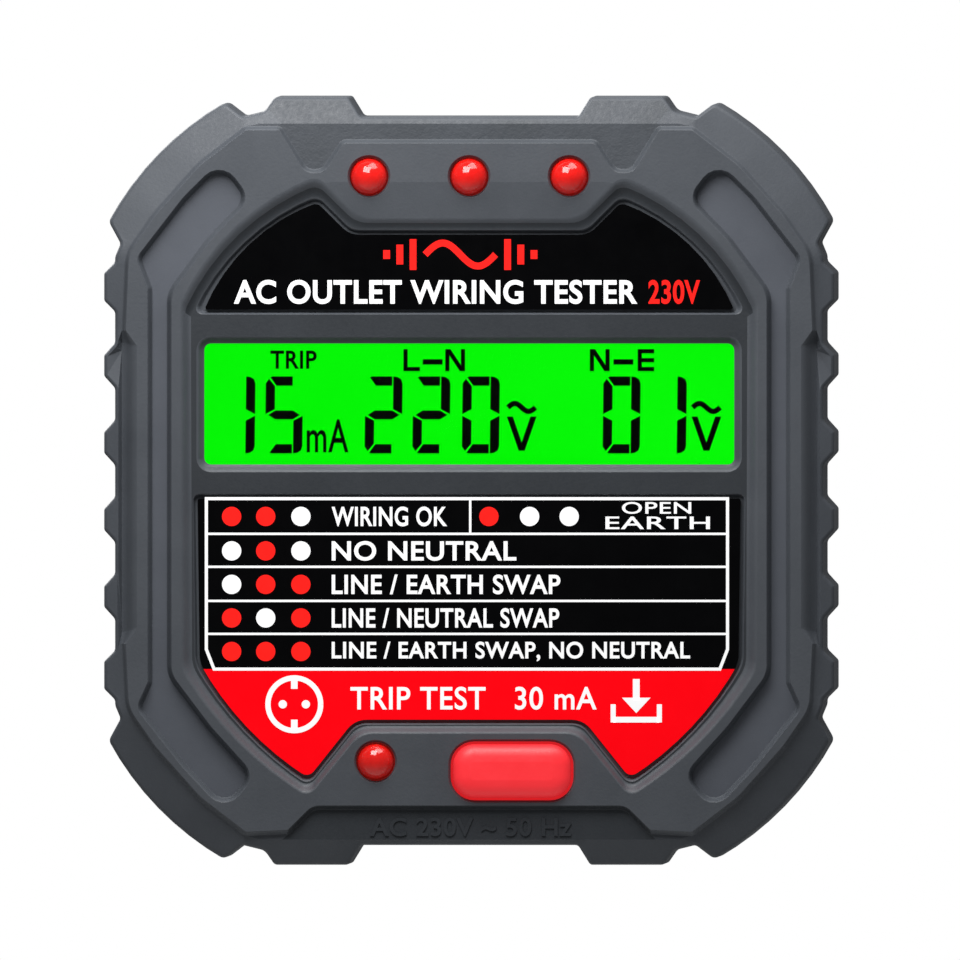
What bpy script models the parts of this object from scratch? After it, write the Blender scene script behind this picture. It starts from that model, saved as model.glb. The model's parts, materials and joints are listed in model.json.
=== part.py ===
"""Outlet tester plug: a hand-sized moulded body that plugs straight into a wall outlet.

Units are metres, +Z is up. The origin is the centre of the plug boss's end face, midway
between the pins. +Y points into the wall, so the face with the display looks along -Y.
"""

import math

import bmesh
import bpy
from mathutils import Vector

# Clearances
GAP = 0.0003  # between pieces that touch
LABEL_GAP = 0.00015  # between a label and the recess that it is stuck in

# Depths along Y, from the wall to the front of the body
BOSS_LENGTH = 0.0175
BODY_DEPTH = 0.032
BACK_Y = -BOSS_LENGTH
FRONT_Y = BACK_Y - BODY_DEPTH
SPLIT_Y = FRONT_Y + 0.0155
CROWN_Y = FRONT_Y + 0.0012  # top of the sloping rim, where the raised crown starts
FRONT_WALL_Y = FRONT_Y + 0.0026
BACK_WALL_Y = BACK_Y - 0.0024
BOARD_Y = FRONT_Y + 0.0086
BOARD_THICK = 0.0016
BOARD_BACK_Y = BOARD_Y + BOARD_THICK

# Silhouette, one quarter, from the middle of the top edge to the middle of the right side:
# x, z and the corner's rounding. A fourth number is the bulge of the side that follows.
TOP_Z = 0.0331
SIDE_X = 0.0322
FOOT_Z = 0.0349
QUARTER_TOP = [
    (0.0099, TOP_Z, 0.0006),
    (0.0110, FOOT_Z, 0.0006),
    (0.0177, FOOT_Z, 0.0006),
    (0.0186, 0.0336, 0.0008),
    (0.0206, TOP_Z, 0.0005),
    (0.0223, 0.0344, 0.0008, 0.00105),
    (0.0328, 0.0236, 0.0008),
    (0.0317, 0.0216, 0.0005),
    (SIDE_X, 0.0204, 0.0008),
]
QUARTER_CAVITY = [
    (0.0208, 0.0309, 0.0020, 0.0018),
    (0.0301, 0.0221, 0.0020),
]
REBATE = 0.0010  # how far the front shell's seat for the rear shell's tongue is cut back
GRIP_PROUD = 0.0010
# Grip ridges on the right side: height of the middle, half the crest and half the foot
GRIPS = [
    (0.01765, 0.00125, 0.00225),
    (0.0105, 0.00095, 0.00205),
    (0.0035, 0.00095, 0.00205),
]

# Raised crown of the front, right half: notched beside the top lamps, stepped in beside
# the sloping side panels, and cut back above the recess in the middle of the bottom edge
HALF_CROWN = [
    (0.0116, 0.0311, 0.0009),
    (0.0135, 0.0285, 0.0008),
    (0.0147, 0.0285, 0.0008),
    (0.0173, 0.0323, 0.0008),
    (0.0203, 0.0323, 0.0010),
    (0.0247, 0.0289, 0.0060),
    (0.0288, 0.0243, 0.0060),
    (0.0314, 0.0206, 0.0030),
    (0.0316, 0.0137, 0.0010),
    (0.0301, 0.0122, 0.0010),
    (0.0301, -0.0134, 0.0010),
    (0.0316, -0.0149, 0.0010),
    (0.0314, -0.0206, 0.0030),
    (0.0288, -0.0243, 0.0060),
    (0.0247, -0.0289, 0.0060),
    (0.0203, -0.0323, 0.0010),
    (0.0163, -0.0324, 0.0006),
    (0.0141, -0.0299, 0.0012),
]

# Recess that holds the upper label: right half, from the middle of its top edge down
LABEL_DEPTH = 0.0012
LABEL_THICK = 0.00025
UPPER_RECESS = [
    (0.0108, 0.0226, 0.0020),
    (0.0138, 0.0256, 0.0010, 0.0015),
    (0.0246, 0.0154, 0.0004),
]
LOWER_RECESS = [
    (0.0249, -0.0014, 0.0004),
    (0.0247, -0.0166, 0.0030, 0.0009),
    (0.0146, -0.0273, 0.0010),
    (0.0103, -0.0219, 0.0020),
]
LABEL_MARGIN = 0.0002

# Side channel, right-hand one: corner points with their roundings, top half
CHANNEL_DEPTH = 0.0007
CHANNEL_TOP = [
    (0.0275, 0.0172, 0.0020),
    (0.0238, 0.0224, 0.0060),
    (0.0203, 0.0259, 0.0010),
    (0.0230, 0.0288, 0.0010),
    (0.0262, 0.0256, 0.0060),
    (0.0301, 0.0204, 0.0008),
    (0.0289, 0.0176, 0.0006),
]

# Display
WINDOW_X, WINDOW_LOW, WINDOW_HIGH = 0.0241, 0.0015, 0.0125
WINDOW_MIDDLE = (WINDOW_LOW + WINDOW_HIGH) / 2
LENS_Y = FRONT_Y + 0.0014
LENS_THICK = 0.0011
GLASS_Y = FRONT_Y + 0.0031
GLASS_THICK = 0.0019
GLASS_HALF = (0.0252, 0.0088)
LIGHT_HALF = (0.0244, 0.0059)
HOLDER_HALF = (0.0271, 0.0107)
STRIP_HALF = (0.0225, 0.0009)
STRIP_Z = 0.0073

# Indicator lamps and the test button
LED_RADIUS = 0.0016
LED_PROUD = 0.0010
LED_HOLE = 0.0018
LEDS = {
    "led_left": (-0.0091, 0.0277),
    "led_centre": (0.0, 0.0277),
    "led_right": (0.0091, 0.0277),
    "led_trip": (-0.0085, -0.0255),
}
BUTTON_X, BUTTON_Z = 0.0040, -0.0263
BUTTON_HALF = (0.0055, 0.00265)
BUTTON_ROUND = 0.0021
BUTTON_PROUD = 0.0011
BUTTON_CLEAR = 0.0003
SWITCH_HALF = 0.0030
PLUNGER_RADIUS = 0.0017

# Plug
BOSS_RADIUS = 0.0185
NECK_RADIUS = 0.0150
NECK_Y = BACK_Y - 0.0050
PIN_X = 0.0095
PIN_RADIUS = 0.0024
PIN_LENGTH = 0.019
PIN_TAIL_RADIUS = 0.0014
GUIDE_WIDTH, GUIDE_DEPTH = 0.0055, 0.0025
CLIP_WIDTH, CLIP_THICK = 0.0080, 0.0008
FLAT_Z = 0.0166  # flats of the boss, which carry the earth clips
CLIP_TAIL_Z = 0.0120
CARRIER_Y = NECK_Y - 0.0036

# Fasteners
CORNER = 0.0242  # housing screws, left and right, up and down
SCREW_RADIUS, SCREW_HEAD = 0.0014, 0.0027
BOARD_POSTS = [(-0.0195, 0.0200), (0.0195, 0.0200), (-0.0235, -0.0140), (0.0235, -0.0140)]

ROUND_STEPS = 28  # sides of a round piece
ARC_STEPS = 2  # sides of a rounded corner
BODY_ARC_STEPS = 1  # the same on the long silhouette, whose corners are plain bevels


# ---------------------------------------------------------------- outlines


def mirrored(half):
    """The corners of one half and their mirror image across x = 0, as one closed outline."""
    left = []
    bulges = [corner[3] if len(corner) > 3 else 0.0 for corner in half]
    for index in range(len(half) - 1, -1, -1):
        x, z, radius = half[index][:3]
        left.append((-x, z, radius, bulges[index - 1] if index else 0.0))
    return half + left


def quartered(quarter):
    """The corners of one quarter mirrored down and across."""
    lower = []
    bulges = [corner[3] if len(corner) > 3 else 0.0 for corner in quarter]
    for index in range(len(quarter) - 1, -1, -1):
        x, z, radius = quarter[index][:3]
        lower.append((x, -z, radius, bulges[index - 1] if index else 0.0))
    return mirrored(quarter + lower)


def bulged(start, end, bulge, steps=6):
    """Points between two corners on an arc that stands out from their chord, to the left."""
    chord = end - start
    length = chord.length
    radius = length * length / (8 * bulge) + bulge / 2
    out = Vector((-chord.y, chord.x)) / length
    centre = (start + end) / 2 - out * (radius - bulge)
    half_angle = math.asin(length / 2 / radius)
    points = []
    for step in range(1, steps):
        angle = half_angle * (1 - 2 * step / steps)
        along = chord / length * -math.sin(angle)
        points.append(centre + (along + out * math.cos(angle)) * radius)
    return points


def outline(corners, steps=ARC_STEPS):
    """A closed list of points with every corner rounded to its radius."""
    sharp = []
    for index, corner in enumerate(corners):
        here = Vector(corner[:2])
        sharp.append((here, corner[2]))
        if len(corner) > 3 and corner[3]:
            after = Vector(corners[(index + 1) % len(corners)][:2])
            sharp += [(point, 0.0) for point in bulged(here, after, corner[3])]
    points = []
    for index, (here, radius) in enumerate(sharp):
        back = sharp[index - 1][0] - here
        ahead = sharp[(index + 1) % len(sharp)][0] - here
        angle = back.angle(ahead)
        if radius == 0.0 or angle > 3.0:
            points.append(here)
            continue
        reach = min(radius / math.tan(angle / 2), 0.45 * back.length, 0.45 * ahead.length)
        start = here + back.normalized() * reach
        end = here + ahead.normalized() * reach
        for step in range(steps + 1):
            t = step / steps
            points.append(start * (1 - t) ** 2 + here * (2 * t * (1 - t)) + end * t * t)
    return points


def shrunk(corners, distance):
    """The corners with each side moved in by a distance, and their roundings to match."""
    inner = []
    count = len(corners)
    for index, corner in enumerate(corners):
        here = Vector(corner[:2])
        before = (here - Vector(corners[index - 1][:2])).normalized()
        after = (Vector(corners[(index + 1) % count][:2]) - here).normalized()
        normal = Vector((before.y + after.y, -before.x - after.x)).normalized()
        place = here + normal * (distance / normal.dot(Vector((before.y, -before.x))))
        turn = before.x * after.y - before.y * after.x
        radius = corner[2] + (distance if turn > 0 else -distance)
        inner.append((place.x, place.y, max(radius, 0.0001), *corner[3:]))
    return inner


def moved_in(points, distance):
    """The outline with each side moved in by a distance; a clockwise outline is expected."""
    inner = []
    count = len(points)
    for index, here in enumerate(points):
        before = (here - points[index - 1]).normalized()
        after = (points[(index + 1) % count] - here).normalized()
        normal = Vector((before.y, -before.x)) + Vector((after.y, -after.x))
        normal.normalize()
        lean = max(normal.dot(Vector((before.y, -before.x))), 0.5)
        inner.append(here + normal * (distance / lean))
    return inner


def circle(x, z, radius, steps=ROUND_STEPS):
    points = []
    for step in range(steps):
        angle = -2 * math.pi * step / steps
        points.append(Vector((x + radius * math.cos(angle), z + radius * math.sin(angle))))
    return points


def rectangle(low_x, low_z, high_x, high_z, radius=0.0):
    corners = [
        (low_x, high_z, radius),
        (high_x, high_z, radius),
        (high_x, low_z, radius),
        (low_x, low_z, radius),
    ]
    return outline(corners)


def body_corners():
    """The whole silhouette's corners, clockwise from the top."""
    quarter = list(QUARTER_TOP)
    for middle, crest, foot in GRIPS:
        quarter.append((SIDE_X, middle + foot, 0.0005))
        quarter.append((SIDE_X + GRIP_PROUD, middle + crest, 0.0005))
        quarter.append((SIDE_X + GRIP_PROUD, middle - crest, 0.0005))
        quarter.append((SIDE_X, middle - foot, 0.0005))
    return quartered(quarter)


def channel_corners(side):
    """The corners of one side channel; side is 1 on the right and -1 on the left."""
    lower = [(x, -z, radius) for x, z, radius in reversed(CHANNEL_TOP)]
    corners = CHANNEL_TOP + lower
    if side > 0:
        return corners
    return [(-x, z, radius) for x, z, radius in reversed(corners)]


# ---------------------------------------------------------------- making solids


def material(name, colour, roughness, metallic=0.0, alpha=1.0):
    made = bpy.data.materials.new(name)
    made.use_nodes = True
    shader = made.node_tree.nodes["Principled BSDF"]
    shader.inputs["Base Color"].default_value = (*colour, 1.0)
    shader.inputs["Roughness"].default_value = roughness
    shader.inputs["Metallic"].default_value = metallic
    shader.inputs["Alpha"].default_value = alpha
    return made


def finished(name, mesh_data, finish, smooth=False):
    """A named object from a bmesh, with outward faces."""
    bmesh.ops.recalc_face_normals(mesh_data, faces=mesh_data.faces)
    mesh = bpy.data.meshes.new(name)
    mesh_data.to_mesh(mesh)
    mesh_data.free()
    if smooth:
        mesh.shade_smooth()
        mesh.set_sharp_from_angle(angle=math.radians(35))
    if finish:
        mesh.materials.append(finish)
    made = bpy.data.objects.new(name, mesh)
    bpy.context.scene.collection.objects.link(made)
    return made


def loft(name, rings, finish=None, smooth=False):
    """A closed solid through outlines with as many points each; a ring is (points, y)."""
    mesh_data = bmesh.new()
    loops = []
    for points, y in rings:
        loops.append([mesh_data.verts.new((p.x, y, p.y)) for p in points])
    for near, far in zip(loops, loops[1:]):
        for index in range(len(near)):
            following = (index + 1) % len(near)
            mesh_data.faces.new((near[index], near[following], far[following], far[index]))
    mesh_data.faces.new(loops[0])
    mesh_data.faces.new(loops[-1])
    return finished(name, mesh_data, finish, smooth)


def prism(name, points, low_y, high_y, finish=None, chamfer=0.0, smooth=False):
    """An outline extruded along Y, with both ends chamfered if asked."""
    if not chamfer:
        return loft(name, [(points, low_y), (points, high_y)], finish, smooth)
    small = moved_in(points, chamfer)
    rings = [
        (small, low_y),
        (points, low_y + chamfer),
        (points, high_y - chamfer),
        (small, high_y),
    ]
    return loft(name, rings, finish, smooth)


def turned(name, profile, x, z, finish, steps=ROUND_STEPS):
    """A round piece about an axis along Y at x, z; profile is (radius, y) pairs."""
    rings = [(circle(x, z, radius, steps), y) for radius, y in profile]
    return loft(name, rings, finish, smooth=True)


def block(name, low, high, finish, chamfer=0.0):
    """A box between two corners given as (x, y, z)."""
    points = rectangle(low[0], low[2], high[0], high[2])
    return prism(name, points, low[1], high[1], finish, chamfer)


def strip(name, path, thickness, half_width, finish):
    """A bent metal strip: its path in the YZ plane, thickened towards -Z, extruded along X."""
    mesh_data = bmesh.new()
    sides = []
    for x in (-half_width, half_width):
        upper = [mesh_data.verts.new((x, y, z)) for y, z in path]
        lower = []
        for index, (y, z) in enumerate(path):
            before = Vector(path[index]) - Vector(path[max(index - 1, 0)])
            after = Vector(path[min(index + 1, len(path) - 1)]) - Vector(path[index])
            along = before.normalized() + after.normalized()
            along.normalize()
            straight = after if after.length else before
            lean = max(abs(along.dot(straight.normalized())), 0.5)
            normal = Vector((along.y, -along.x)) * (thickness / lean)
            lower.append(mesh_data.verts.new((x, y + normal.x, z + normal.y)))
        sides.append((upper, lower))
    (near_top, near_under), (far_top, far_under) = sides
    for near, far in ((near_top, far_top), (near_under, far_under)):
        for a, b, c, d in zip(near, near[1:], far[1:], far):
            mesh_data.faces.new((a, b, c, d))
    for top, under in sides:
        for a, b, c, d in zip(top, top[1:], under[1:], under):
            mesh_data.faces.new((a, b, c, d))
    for end in (0, -1):
        mesh_data.faces.new((near_top[end], far_top[end], far_under[end], near_under[end]))
    return finished(name, mesh_data, finish)


def combine(target, tool, operation):
    """Cuts a tool from the target or joins it on, and hides the tool."""
    tool.hide_render = True
    tool.display_type = "WIRE"
    step = target.modifiers.new(tool.name, "BOOLEAN")
    step.operation = operation
    step.solver = "EXACT"
    step.object = tool


def cut(target, *tools):
    for tool in tools:
        combine(target, tool, "DIFFERENCE")


def join(target, *tools):
    for tool in tools:
        combine(target, tool, "UNION")


def corners_of_square(distance):
    return [(x, z) for x in (-distance, distance) for z in (-distance, distance)]


# ---------------------------------------------------------------- housing


def front_housing(finish):
    """The front shell: rim, raised crown, label recesses, window, lamp and button holes."""
    silhouette = outline(body_corners(), BODY_ARC_STEPS)
    rings = [
        (silhouette, SPLIT_Y - GAP / 2),
        (silhouette, FRONT_Y + 0.0026),
        (outline(shrunk(body_corners(), 0.0004), BODY_ARC_STEPS), FRONT_Y + 0.0017),
        (outline(shrunk(body_corners(), 0.0009), BODY_ARC_STEPS), CROWN_Y),
    ]
    shell = loft("front_housing", rings, finish)
    crown = outline(mirrored(HALF_CROWN))
    crown_rings = [(crown, CROWN_Y + 0.0010), (crown, FRONT_Y + 0.0003)]
    crown_rings.append((moved_in(crown, 0.0003), FRONT_Y))
    join(shell, loft("crown", crown_rings))

    inside = outline(quartered(QUARTER_CAVITY))
    cut(shell, prism("front_cavity", inside, FRONT_WALL_Y, SPLIT_Y + 0.001))
    rebate = moved_in(inside, -REBATE)
    cut(shell, prism("front_rebate", rebate, SPLIT_Y - 0.0022, SPLIT_Y + 0.001))

    for name, half in (("upper_recess", UPPER_RECESS), ("lower_recess", LOWER_RECESS)):
        recess = outline(mirrored(half))
        rings = [
            (moved_in(recess, -0.0007), FRONT_Y - 0.0002),
            (recess, FRONT_Y + LABEL_DEPTH - 0.0004),
            (recess, FRONT_Y + LABEL_DEPTH),
        ]
        cut(shell, loft(name, rings))
    for name, side in (("left_channel", -1), ("right_channel", 1)):
        channel = outline(channel_corners(side))
        cut(shell, prism(name, channel, FRONT_Y - 0.001, FRONT_Y + CHANNEL_DEPTH))

    window = rectangle(-WINDOW_X, WINDOW_LOW, WINDOW_X, WINDOW_HIGH, 0.0005)
    rings = [
        (moved_in(window, -0.0008), FRONT_Y - 0.0002),
        (window, FRONT_Y + 0.0008),
        (window, FRONT_WALL_Y + 0.001),
    ]
    cut(shell, loft("window_opening", rings))
    seat = moved_in(window, -0.0010)
    cut(shell, prism("lens_seat", seat, LENS_Y - LABEL_GAP, FRONT_WALL_Y + 0.001))

    for name, (x, z) in LEDS.items():
        hole = circle(x, z, LED_HOLE, 16)
        cut(shell, prism(name + "_hole", hole, FRONT_Y - 0.001, FRONT_WALL_Y + 0.001))
    opening = moved_in(button_outline(BUTTON_X, BUTTON_Z), -BUTTON_CLEAR)
    cut(shell, prism("button_opening", opening, FRONT_Y - 0.001, FRONT_WALL_Y + 0.001))

    for index, (x, z) in enumerate(corners_of_square(CORNER)):
        boss = circle(x, z, 0.0033, 14)
        ends = (FRONT_WALL_Y - 0.0004, SPLIT_Y - GAP / 2)
        join(shell, prism(f"front_boss_{index}", boss, *ends))
        pilot = circle(x, z, SCREW_RADIUS + 0.0002, 12)
        cut(shell, prism(f"front_pilot_{index}", pilot, SPLIT_Y - 0.0080, SPLIT_Y + 0.001))
    for index, (x, z) in enumerate(BOARD_POSTS):
        post = circle(x, z, 0.0022, 12)
        join(shell, prism(f"board_post_{index}", post, FRONT_WALL_Y - 0.0004, BOARD_Y - GAP))
        pilot = circle(x, z, 0.0011, 8)
        cut(shell, prism(f"post_pilot_{index}", pilot, BOARD_Y - 0.0042, BOARD_Y))
    return shell


def rear_housing(finish):
    """The rear shell: a tray whose back wall carries the plug boss and the four screws."""
    silhouette = outline(body_corners(), BODY_ARC_STEPS)
    rings = [
        (silhouette, SPLIT_Y + GAP / 2),
        (silhouette, BACK_Y - 0.0024),
        (outline(shrunk(body_corners(), 0.0004), BODY_ARC_STEPS), BACK_Y - 0.0009),
        (outline(shrunk(body_corners(), 0.0009), BODY_ARC_STEPS), BACK_Y),
    ]
    shell = loft("rear_housing", rings, finish)
    inside = outline(quartered(QUARTER_CAVITY))
    cut(shell, prism("rear_cavity", inside, SPLIT_Y - 0.001, BACK_WALL_Y))

    edge = moved_in(inside, GAP - REBATE)
    tongue = prism("tongue", edge, SPLIT_Y - 0.0019, SPLIT_Y + 0.0024)
    cut(tongue, prism("tongue_inside", inside, SPLIT_Y - 0.004, SPLIT_Y + 0.004))
    join(shell, tongue)

    for index, (x, z) in enumerate(corners_of_square(CORNER)):
        post = circle(x, z, 0.0040, 14)
        ends = (SPLIT_Y + GAP / 2, BACK_WALL_Y + 0.0004)
        join(shell, prism(f"rear_post_{index}", post, *ends))
        clear = circle(x, z, SCREW_RADIUS + 0.0003, 12)
        cut(shell, prism(f"rear_clear_{index}", clear, SPLIT_Y - 0.004, BACK_Y))
        head = circle(x, z, SCREW_HEAD + 0.0003, 16)
        cut(shell, prism(f"head_bore_{index}", head, BACK_Y - 0.0046, BACK_Y + 0.001))
    neck = circle(0.0, 0.0, NECK_RADIUS + GAP)
    cut(shell, prism("neck_hole", neck, BACK_WALL_Y - 0.001, BACK_Y + 0.001))
    return shell


def housing_screws(finish):
    """Four screws put in from the back, each with a recessed drive in its head."""
    for index, (x, z) in enumerate(corners_of_square(CORNER)):
        profile = [
            (0.0006, SPLIT_Y - 0.0072),
            (SCREW_RADIUS, SPLIT_Y - 0.0060),
            (SCREW_RADIUS, BACK_Y - 0.0043),
            (SCREW_HEAD, BACK_Y - 0.0043),
            (SCREW_HEAD, BACK_Y - 0.0030),
            (0.0017, BACK_Y - 0.0022),
        ]
        screw = turned(f"housing_screw_{index + 1}", profile, x, z, finish, 12)
        drive_screw(screw, x, z, BACK_Y - 0.0022)


def drive_screw(screw, x, z, top_y):
    """Cuts a cross-shaped drive into a screw head whose top is at top_y."""
    long, short, depth = 0.0013, 0.0003, 0.0009
    for name, half_x, half_z in (("_slot_x", long, short), ("_slot_z", short, long)):
        points = rectangle(x - half_x, z - half_z, x + half_x, z + half_z)
        cut(screw, prism(screw.name + name, points, top_y - depth, top_y + 0.0005))


# ---------------------------------------------------------------- plug


def plug_boss(finish):
    """The round boss with its guide grooves, earth clip flats, pin bores and inner neck."""
    profile = [
        (NECK_RADIUS, NECK_Y),
        (NECK_RADIUS, BACK_Y + GAP),
        (BOSS_RADIUS, BACK_Y + GAP),
        (BOSS_RADIUS, -0.0012),
        (BOSS_RADIUS - 0.0012, 0.0),
    ]
    boss = turned("plug_boss", profile, 0.0, 0.0, finish, 48)
    for name, side in (("left_guide", -1), ("right_guide", 1)):
        inner = side * (BOSS_RADIUS - GUIDE_DEPTH)
        outer = side * (BOSS_RADIUS + 0.002)
        groove = rectangle(
            min(inner, outer), -GUIDE_WIDTH / 2, max(inner, outer), GUIDE_WIDTH / 2, 0.0006
        )
        cut(boss, prism(name, groove, BACK_Y + 0.0014, 0.001))
    half = CLIP_WIDTH / 2 + GAP
    for name, side in (("top", 1), ("bottom", -1)):
        flat = sorted((side * FLAT_Z, side * (BOSS_RADIUS + 0.002)))
        seat = rectangle(-half, flat[0], half, flat[1])
        cut(boss, prism(name + "_flat", seat, BACK_Y + 0.0012, 0.001))
        well = sorted((side * (CLIP_TAIL_Z - GAP), side * (FLAT_Z + 0.001)))
        slot = rectangle(-half, well[0], half, well[1])
        cut(boss, prism(name + "_well", slot, BACK_Y + 0.0012, BACK_Y + 0.0034))
        tail = sorted((side * (CLIP_TAIL_Z - GAP), side * (CLIP_TAIL_Z + CLIP_THICK + GAP)))
        way = rectangle(-half, tail[0], half, tail[1])
        cut(boss, prism(name + "_way", way, NECK_Y - 0.001, BACK_Y + 0.0030))
    for name, x in (("left", -PIN_X), ("right", PIN_X)):
        bore = circle(x, 0.0, PIN_RADIUS + GAP, 20)
        cut(boss, prism(name + "_pin_bore", bore, NECK_Y - 0.001, 0.001))
    for index, side in enumerate((-1, 1)):
        pilot = circle(side * PIN_X, side * 0.0078, 0.0009, 8)
        cut(boss, prism(f"carrier_pilot_{index}", pilot, NECK_Y - 0.001, NECK_Y + 0.005))
    return boss


def pins(finish):
    """The two round pins, each with a collar behind the boss and a solder tail."""
    collar_y = NECK_Y - GAP
    for name, x in (("pin_live", -PIN_X), ("pin_neutral", PIN_X)):
        profile = [
            (PIN_TAIL_RADIUS, CARRIER_Y - 0.0050),
            (PIN_TAIL_RADIUS, collar_y - 0.0012),
            (0.0034, collar_y - 0.0012),
            (0.0034, collar_y),
            (PIN_RADIUS, collar_y),
            (PIN_RADIUS, PIN_LENGTH - 0.0016),
            (PIN_RADIUS * 0.82, PIN_LENGTH - 0.0006),
            (PIN_RADIUS * 0.45, PIN_LENGTH),
        ]
        turned(name, profile, x, 0.0, finish, 24)


def pin_carrier(finish):
    """The plate that clamps the pins' collars against the neck."""
    points = rectangle(-0.0135, -0.0104, 0.0135, 0.0104, 0.0015)
    plate = prism("pin_carrier", points, CARRIER_Y, CARRIER_Y + 0.0018, finish)
    for name, x in (("left", -PIN_X), ("right", PIN_X)):
        hole = circle(x, 0.0, PIN_TAIL_RADIUS + GAP, 12)
        cut(plate, prism(name + "_tail_hole", hole, CARRIER_Y - 0.001, CARRIER_Y + 0.003))
    for index, side in enumerate((-1, 1)):
        hole = circle(side * PIN_X, side * 0.0078, 0.0014, 10)
        cut(plate, prism(f"carrier_hole_{index}", hole, CARRIER_Y - 0.001, CARRIER_Y + 0.003))
    return plate


def carrier_screws(finish):
    for index, side in enumerate((-1, 1)):
        profile = [
            (0.0014, CARRIER_Y - 0.0014),
            (0.0021, CARRIER_Y - 0.0008),
            (0.0021, CARRIER_Y - GAP),
            (0.0007, CARRIER_Y - GAP),
            (0.0007, NECK_Y + 0.0042),
        ]
        turned(f"carrier_screw_{index + 1}", profile, side * PIN_X, side * 0.0078, finish, 12)


def earth_clips(finish):
    """Two bent strips, on the boss's flats, whose tails run through it into the body."""
    lift = FLAT_Z + GAP + CLIP_THICK
    tail = CLIP_TAIL_Z + CLIP_THICK
    riser_y = BACK_Y + 0.0026
    path = [
        (CARRIER_Y - 0.0012, tail),
        (riser_y, tail),
        (riser_y, lift),
        (BACK_Y + 0.0060, lift + 0.0006),
        (-0.0050, lift + 0.0006),
        (-0.0008, lift - 0.0002),
    ]
    strip("earth_clip_top", path, CLIP_THICK, CLIP_WIDTH / 2, finish)
    below = strip("earth_clip_bottom", path, CLIP_THICK, CLIP_WIDTH / 2, finish)
    below.rotation_euler = (0.0, math.pi, 0.0)


def earth_bridge(finish):
    """The strip that joins the two clips' tails behind the pins."""
    high = CARRIER_Y - 0.0012 - GAP
    reach = CLIP_TAIL_Z + CLIP_THICK
    return block("earth_bridge", (-0.003, high - CLIP_THICK, -reach), (0.003, high, reach), finish)


# ---------------------------------------------------------------- front face pieces


def labels(finish):
    """The two printed plates that lie in the recesses."""
    top_y = FRONT_Y + LABEL_DEPTH - LABEL_GAP - LABEL_THICK
    for name, half in (("upper_label", UPPER_RECESS), ("lower_label", LOWER_RECESS)):
        points = moved_in(outline(mirrored(half)), LABEL_MARGIN)
        prism(name, points, top_y, top_y + LABEL_THICK, finish)


def display_parts(finishes):
    """Lens, glass, light guide, contact strips and the holder round them."""
    middle = WINDOW_MIDDLE
    lens = rectangle(
        -WINDOW_X - 0.0007, WINDOW_LOW - 0.0007, WINDOW_X + 0.0007, WINDOW_HIGH + 0.0007, 0.0008
    )
    prism("display_window", lens, LENS_Y, LENS_Y + LENS_THICK, finishes["clear"])

    half_x, half_z = GLASS_HALF
    low = (-half_x, GLASS_Y, middle - half_z)
    high = (half_x, GLASS_Y + GLASS_THICK, middle + half_z)
    block("lcd_glass", low, high, finishes["lcd"], 0.0002)

    light_y = GLASS_Y + GLASS_THICK + GAP
    back_y = BOARD_Y - GAP
    half_x, half_z = LIGHT_HALF
    low, high = (-half_x, light_y, middle - half_z), (half_x, back_y, middle + half_z)
    block("backlight", low, high, finishes["light"], 0.0003)

    half_x, half_z = STRIP_HALF
    for name, z in (("top", middle + STRIP_Z), ("bottom", middle - STRIP_Z)):
        low, high = (-half_x, light_y, z - half_z), (half_x, back_y, z + half_z)
        block("contact_strip_" + name, low, high, finishes["rubber"])

    half_x, half_z = HOLDER_HALF
    outer = rectangle(-half_x, middle - half_z, half_x, middle + half_z, 0.0010)
    holder = prism("display_holder", outer, GLASS_Y, back_y, finishes["black"])
    half_x, half_z = GLASS_HALF
    inner = rectangle(-half_x - GAP, middle - half_z - GAP, half_x + GAP, middle + half_z + GAP)
    cut(holder, prism("holder_inside", inner, GLASS_Y - 0.001, back_y + 0.001))


def lamps(lens, black):
    """Four indicator lamps with domed ends, each on a spacer off the board."""
    base_y = FRONT_Y + 0.0044
    shoulder_y = FRONT_Y - LED_PROUD + LED_RADIUS
    for name, (x, z) in LEDS.items():
        profile = [(0.0019, base_y), (0.0019, base_y - 0.0009), (LED_RADIUS, base_y - 0.0009)]
        for step in range(4):
            angle = step * math.radians(24)
            radius = LED_RADIUS * math.cos(angle)
            profile.append((radius, shoulder_y - LED_RADIUS * math.sin(angle)))
        turned(name, profile, x, z, lens, 16)
        spacer = [(0.0018, base_y + GAP), (0.0018, BOARD_Y - GAP)]
        turned(name.replace("led", "led_spacer"), spacer, x, z, black, 12)


def button_outline(x, z):
    """The button's rounded outline about a middle point."""
    half_x, half_z = BUTTON_HALF
    corners = [
        (x - half_x, z + half_z, BUTTON_ROUND),
        (x + half_x, z + half_z, BUTTON_ROUND),
        (x + half_x, z - half_z, BUTTON_ROUND),
        (x - half_x, z - half_z, BUTTON_ROUND),
    ]
    return outline(corners, 4)


def test_button(finish):
    """The trip test button: a crowned cap, a flange that keeps it in, and a stem."""
    cap = button_outline(0.0, 0.0)
    flange_y = FRONT_WALL_Y + GAP
    rings = [
        (moved_in(cap, 0.0006), FRONT_Y - BUTTON_PROUD),
        (moved_in(cap, 0.0002), FRONT_Y - BUTTON_PROUD + 0.0003),
        (cap, FRONT_Y - BUTTON_PROUD + 0.0008),
        (cap, flange_y),
        (moved_in(cap, -0.0007), flange_y),
        (moved_in(cap, -0.0007), flange_y + 0.0009),
    ]
    button = loft("test_button", rings, finish)
    stem = circle(0.0, 0.0, 0.0013, 12)
    stem_object = prism("stem", stem, flange_y + 0.0005, plunger_front() - LABEL_GAP)
    for piece in (button, stem_object):
        piece.location = (BUTTON_X, 0.0, BUTTON_Z)
    join(button, stem_object)
    return button


def plunger_front():
    return FRONT_Y + 0.0053


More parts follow.
